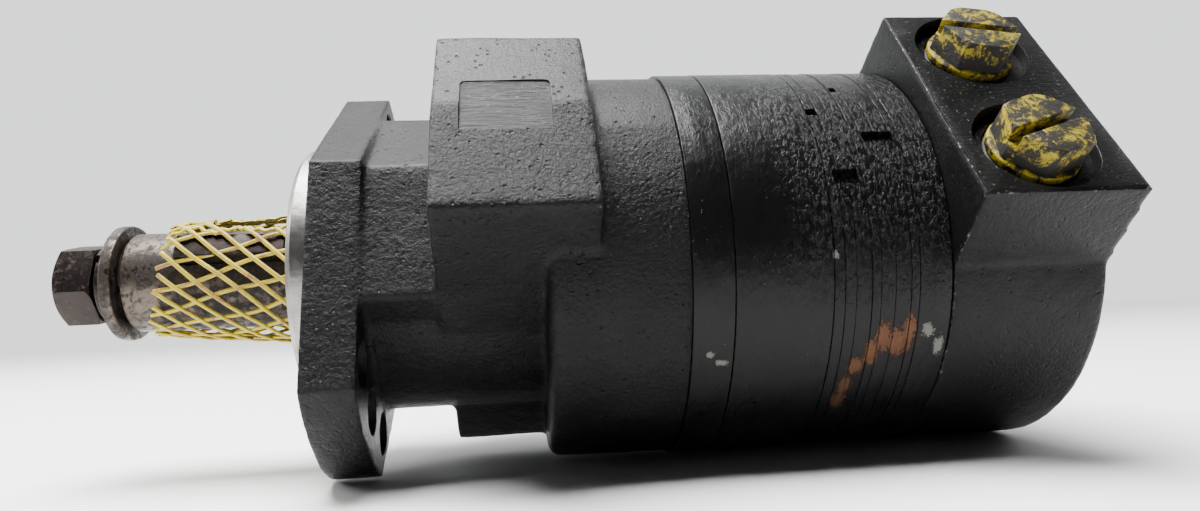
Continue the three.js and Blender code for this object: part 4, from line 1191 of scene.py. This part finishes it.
def area_light(name, location, target, size, power, colour=(1, 1, 1)):
    data = bpy.data.lights.new(name, "AREA")
    data.shape = "RECTANGLE"
    data.size, data.size_y = size
    data.energy = power
    data.color = colour
    light = bpy.data.objects.new(name, data)
    light.location = location
    aim = Vector(target) - Vector(location)
    light.rotation_euler = aim.to_track_quat("-Z", "Y").to_euler()
    bpy.context.scene.collection.objects.link(light)


def make_lights():
    middle = (-0.15, 0, 0)
    area_light("top_box", (-0.36, -0.04, 1.1), middle, (0.8, 0.7), 72)
    area_light("left_box", (-1.3, 0.2, 0.7), middle, (0.7, 0.7), 14)
    area_light("right_box", (1.2, 0.5, 0.6), middle, (0.6, 0.6), 6)
    world = bpy.data.worlds.new("studio")
    bpy.context.scene.world = world
    world.use_nodes = True
    tree = world.node_tree
    background = tree.nodes["Background"]
    coords = tree.nodes.new("ShaderNodeTexCoord")
    split = tree.nodes.new("ShaderNodeSeparateXYZ")
    tree.links.new(coords.outputs["Generated"], split.inputs[0])
    level = tree.nodes.new("ShaderNodeMapRange")
    level.interpolation_type = "SMOOTHSTEP"
    level.inputs["From Min"].default_value = 0.0
    level.inputs["From Max"].default_value = 0.6
    level.inputs["To Min"].default_value = 0.03
    level.inputs["To Max"].default_value = BACKDROP
    tree.links.new(split.outputs["Y"], level.inputs["Value"])
    tree.links.new(level.outputs["Result"], background.inputs["Strength"])
    background.inputs["Color"].default_value = (0.97, 0.985, 1.0, 1)


def make_camera():
    data = bpy.data.cameras.new("camera")
    data.lens = 24.136
    data.sensor_width = 36
    data.shift_x = -0.00058
    data.shift_y = -0.0018
    camera = bpy.data.objects.new("camera", data)
    camera.location = (-0.1699, -0.27699, -0.01064)
    camera.rotation_euler = (math.radians(93.054), math.radians(2.416), math.radians(-6.086))
    bpy.context.scene.collection.objects.link(camera)
    bpy.context.scene.camera = camera


# ------------------------------------------------------------------ the whole

def dress_inner_nodes(materials):
    """The pieces inside keep their CAD shape and get the finish of their slot."""
    slots = {row["node"]: row["material_slot"] for row in frame["record"]["subparts"]}
    for node, obj in frame["nodes"].items():
        if obj.hide_render:
            continue
        material = materials[slots[node]]
        obj.data.materials.clear()
        obj.data.materials.append(material)


make_camera()
make_floor()
make_lights()

housing_paint = paint_over_casting("housing_paint", 0.55, milled_pad)
cover_paint = paint_over_casting("cover_paint", 0.32, port_face, 1.15)
ring_paint = paint_over_rings()
worn_steel = bare_steel("worn_steel", (0.095, 0.076, 0.062), (0.016, 0.009, 0.006), 0.34, rust_level=0.40)
pilot_steel = bare_steel("pilot_steel", (0.30, 0.29, 0.28), (0.06, 0.045, 0.035), 0.32, rust_level=0.56)
dark_steel = bare_steel("dark_steel", (0.028, 0.023, 0.021), (0.04, 0.013, 0.006), 0.42,
                        grain=2.0, rust_level=0.46)
inner = {
    "black_paint": ring_paint,
    "seal_rubber": rubber("seal_rubber"),
    "brass": plain_metal("brass", (0.55, 0.38, 0.14), 0.3),
    "bearing_steel": plain_metal("bearing_steel", (0.55, 0.56, 0.58), 0.22),
    "ground_steel": plain_metal("ground_steel", (0.42, 0.43, 0.45), 0.26),
    "dark_steel": dark_steel,
    "worn_steel": worn_steel,
    "yellow_plastic": plug_plastic(),
    "net_plastic": net_plastic(),
}

make_housing(housing_paint, pilot_steel)
make_stack(ring_paint)
make_cover(cover_paint)
for number, (side, turn, lean) in enumerate(((-1, 0.35, 0.03), (1, -0.2, -0.04)), start=1):
    make_plug(number, side * PORT_Y, turn, lean, inner["yellow_plastic"])
    make_plug_ring(number, side * PORT_Y, inner["seal_rubber"])
for number in range(1, 8):
    make_cover_bolt(number, dark_steel)
make_shaft(worn_steel, dark_steel)
make_washers(worn_steel, dark_steel)
make_shaft_bolt(dark_steel, math.pi / 6 - math.radians(18.5))
make_dust_seal(inner["seal_rubber"])
make_net(inner["net_plastic"])
dress_inner_nodes(inner)
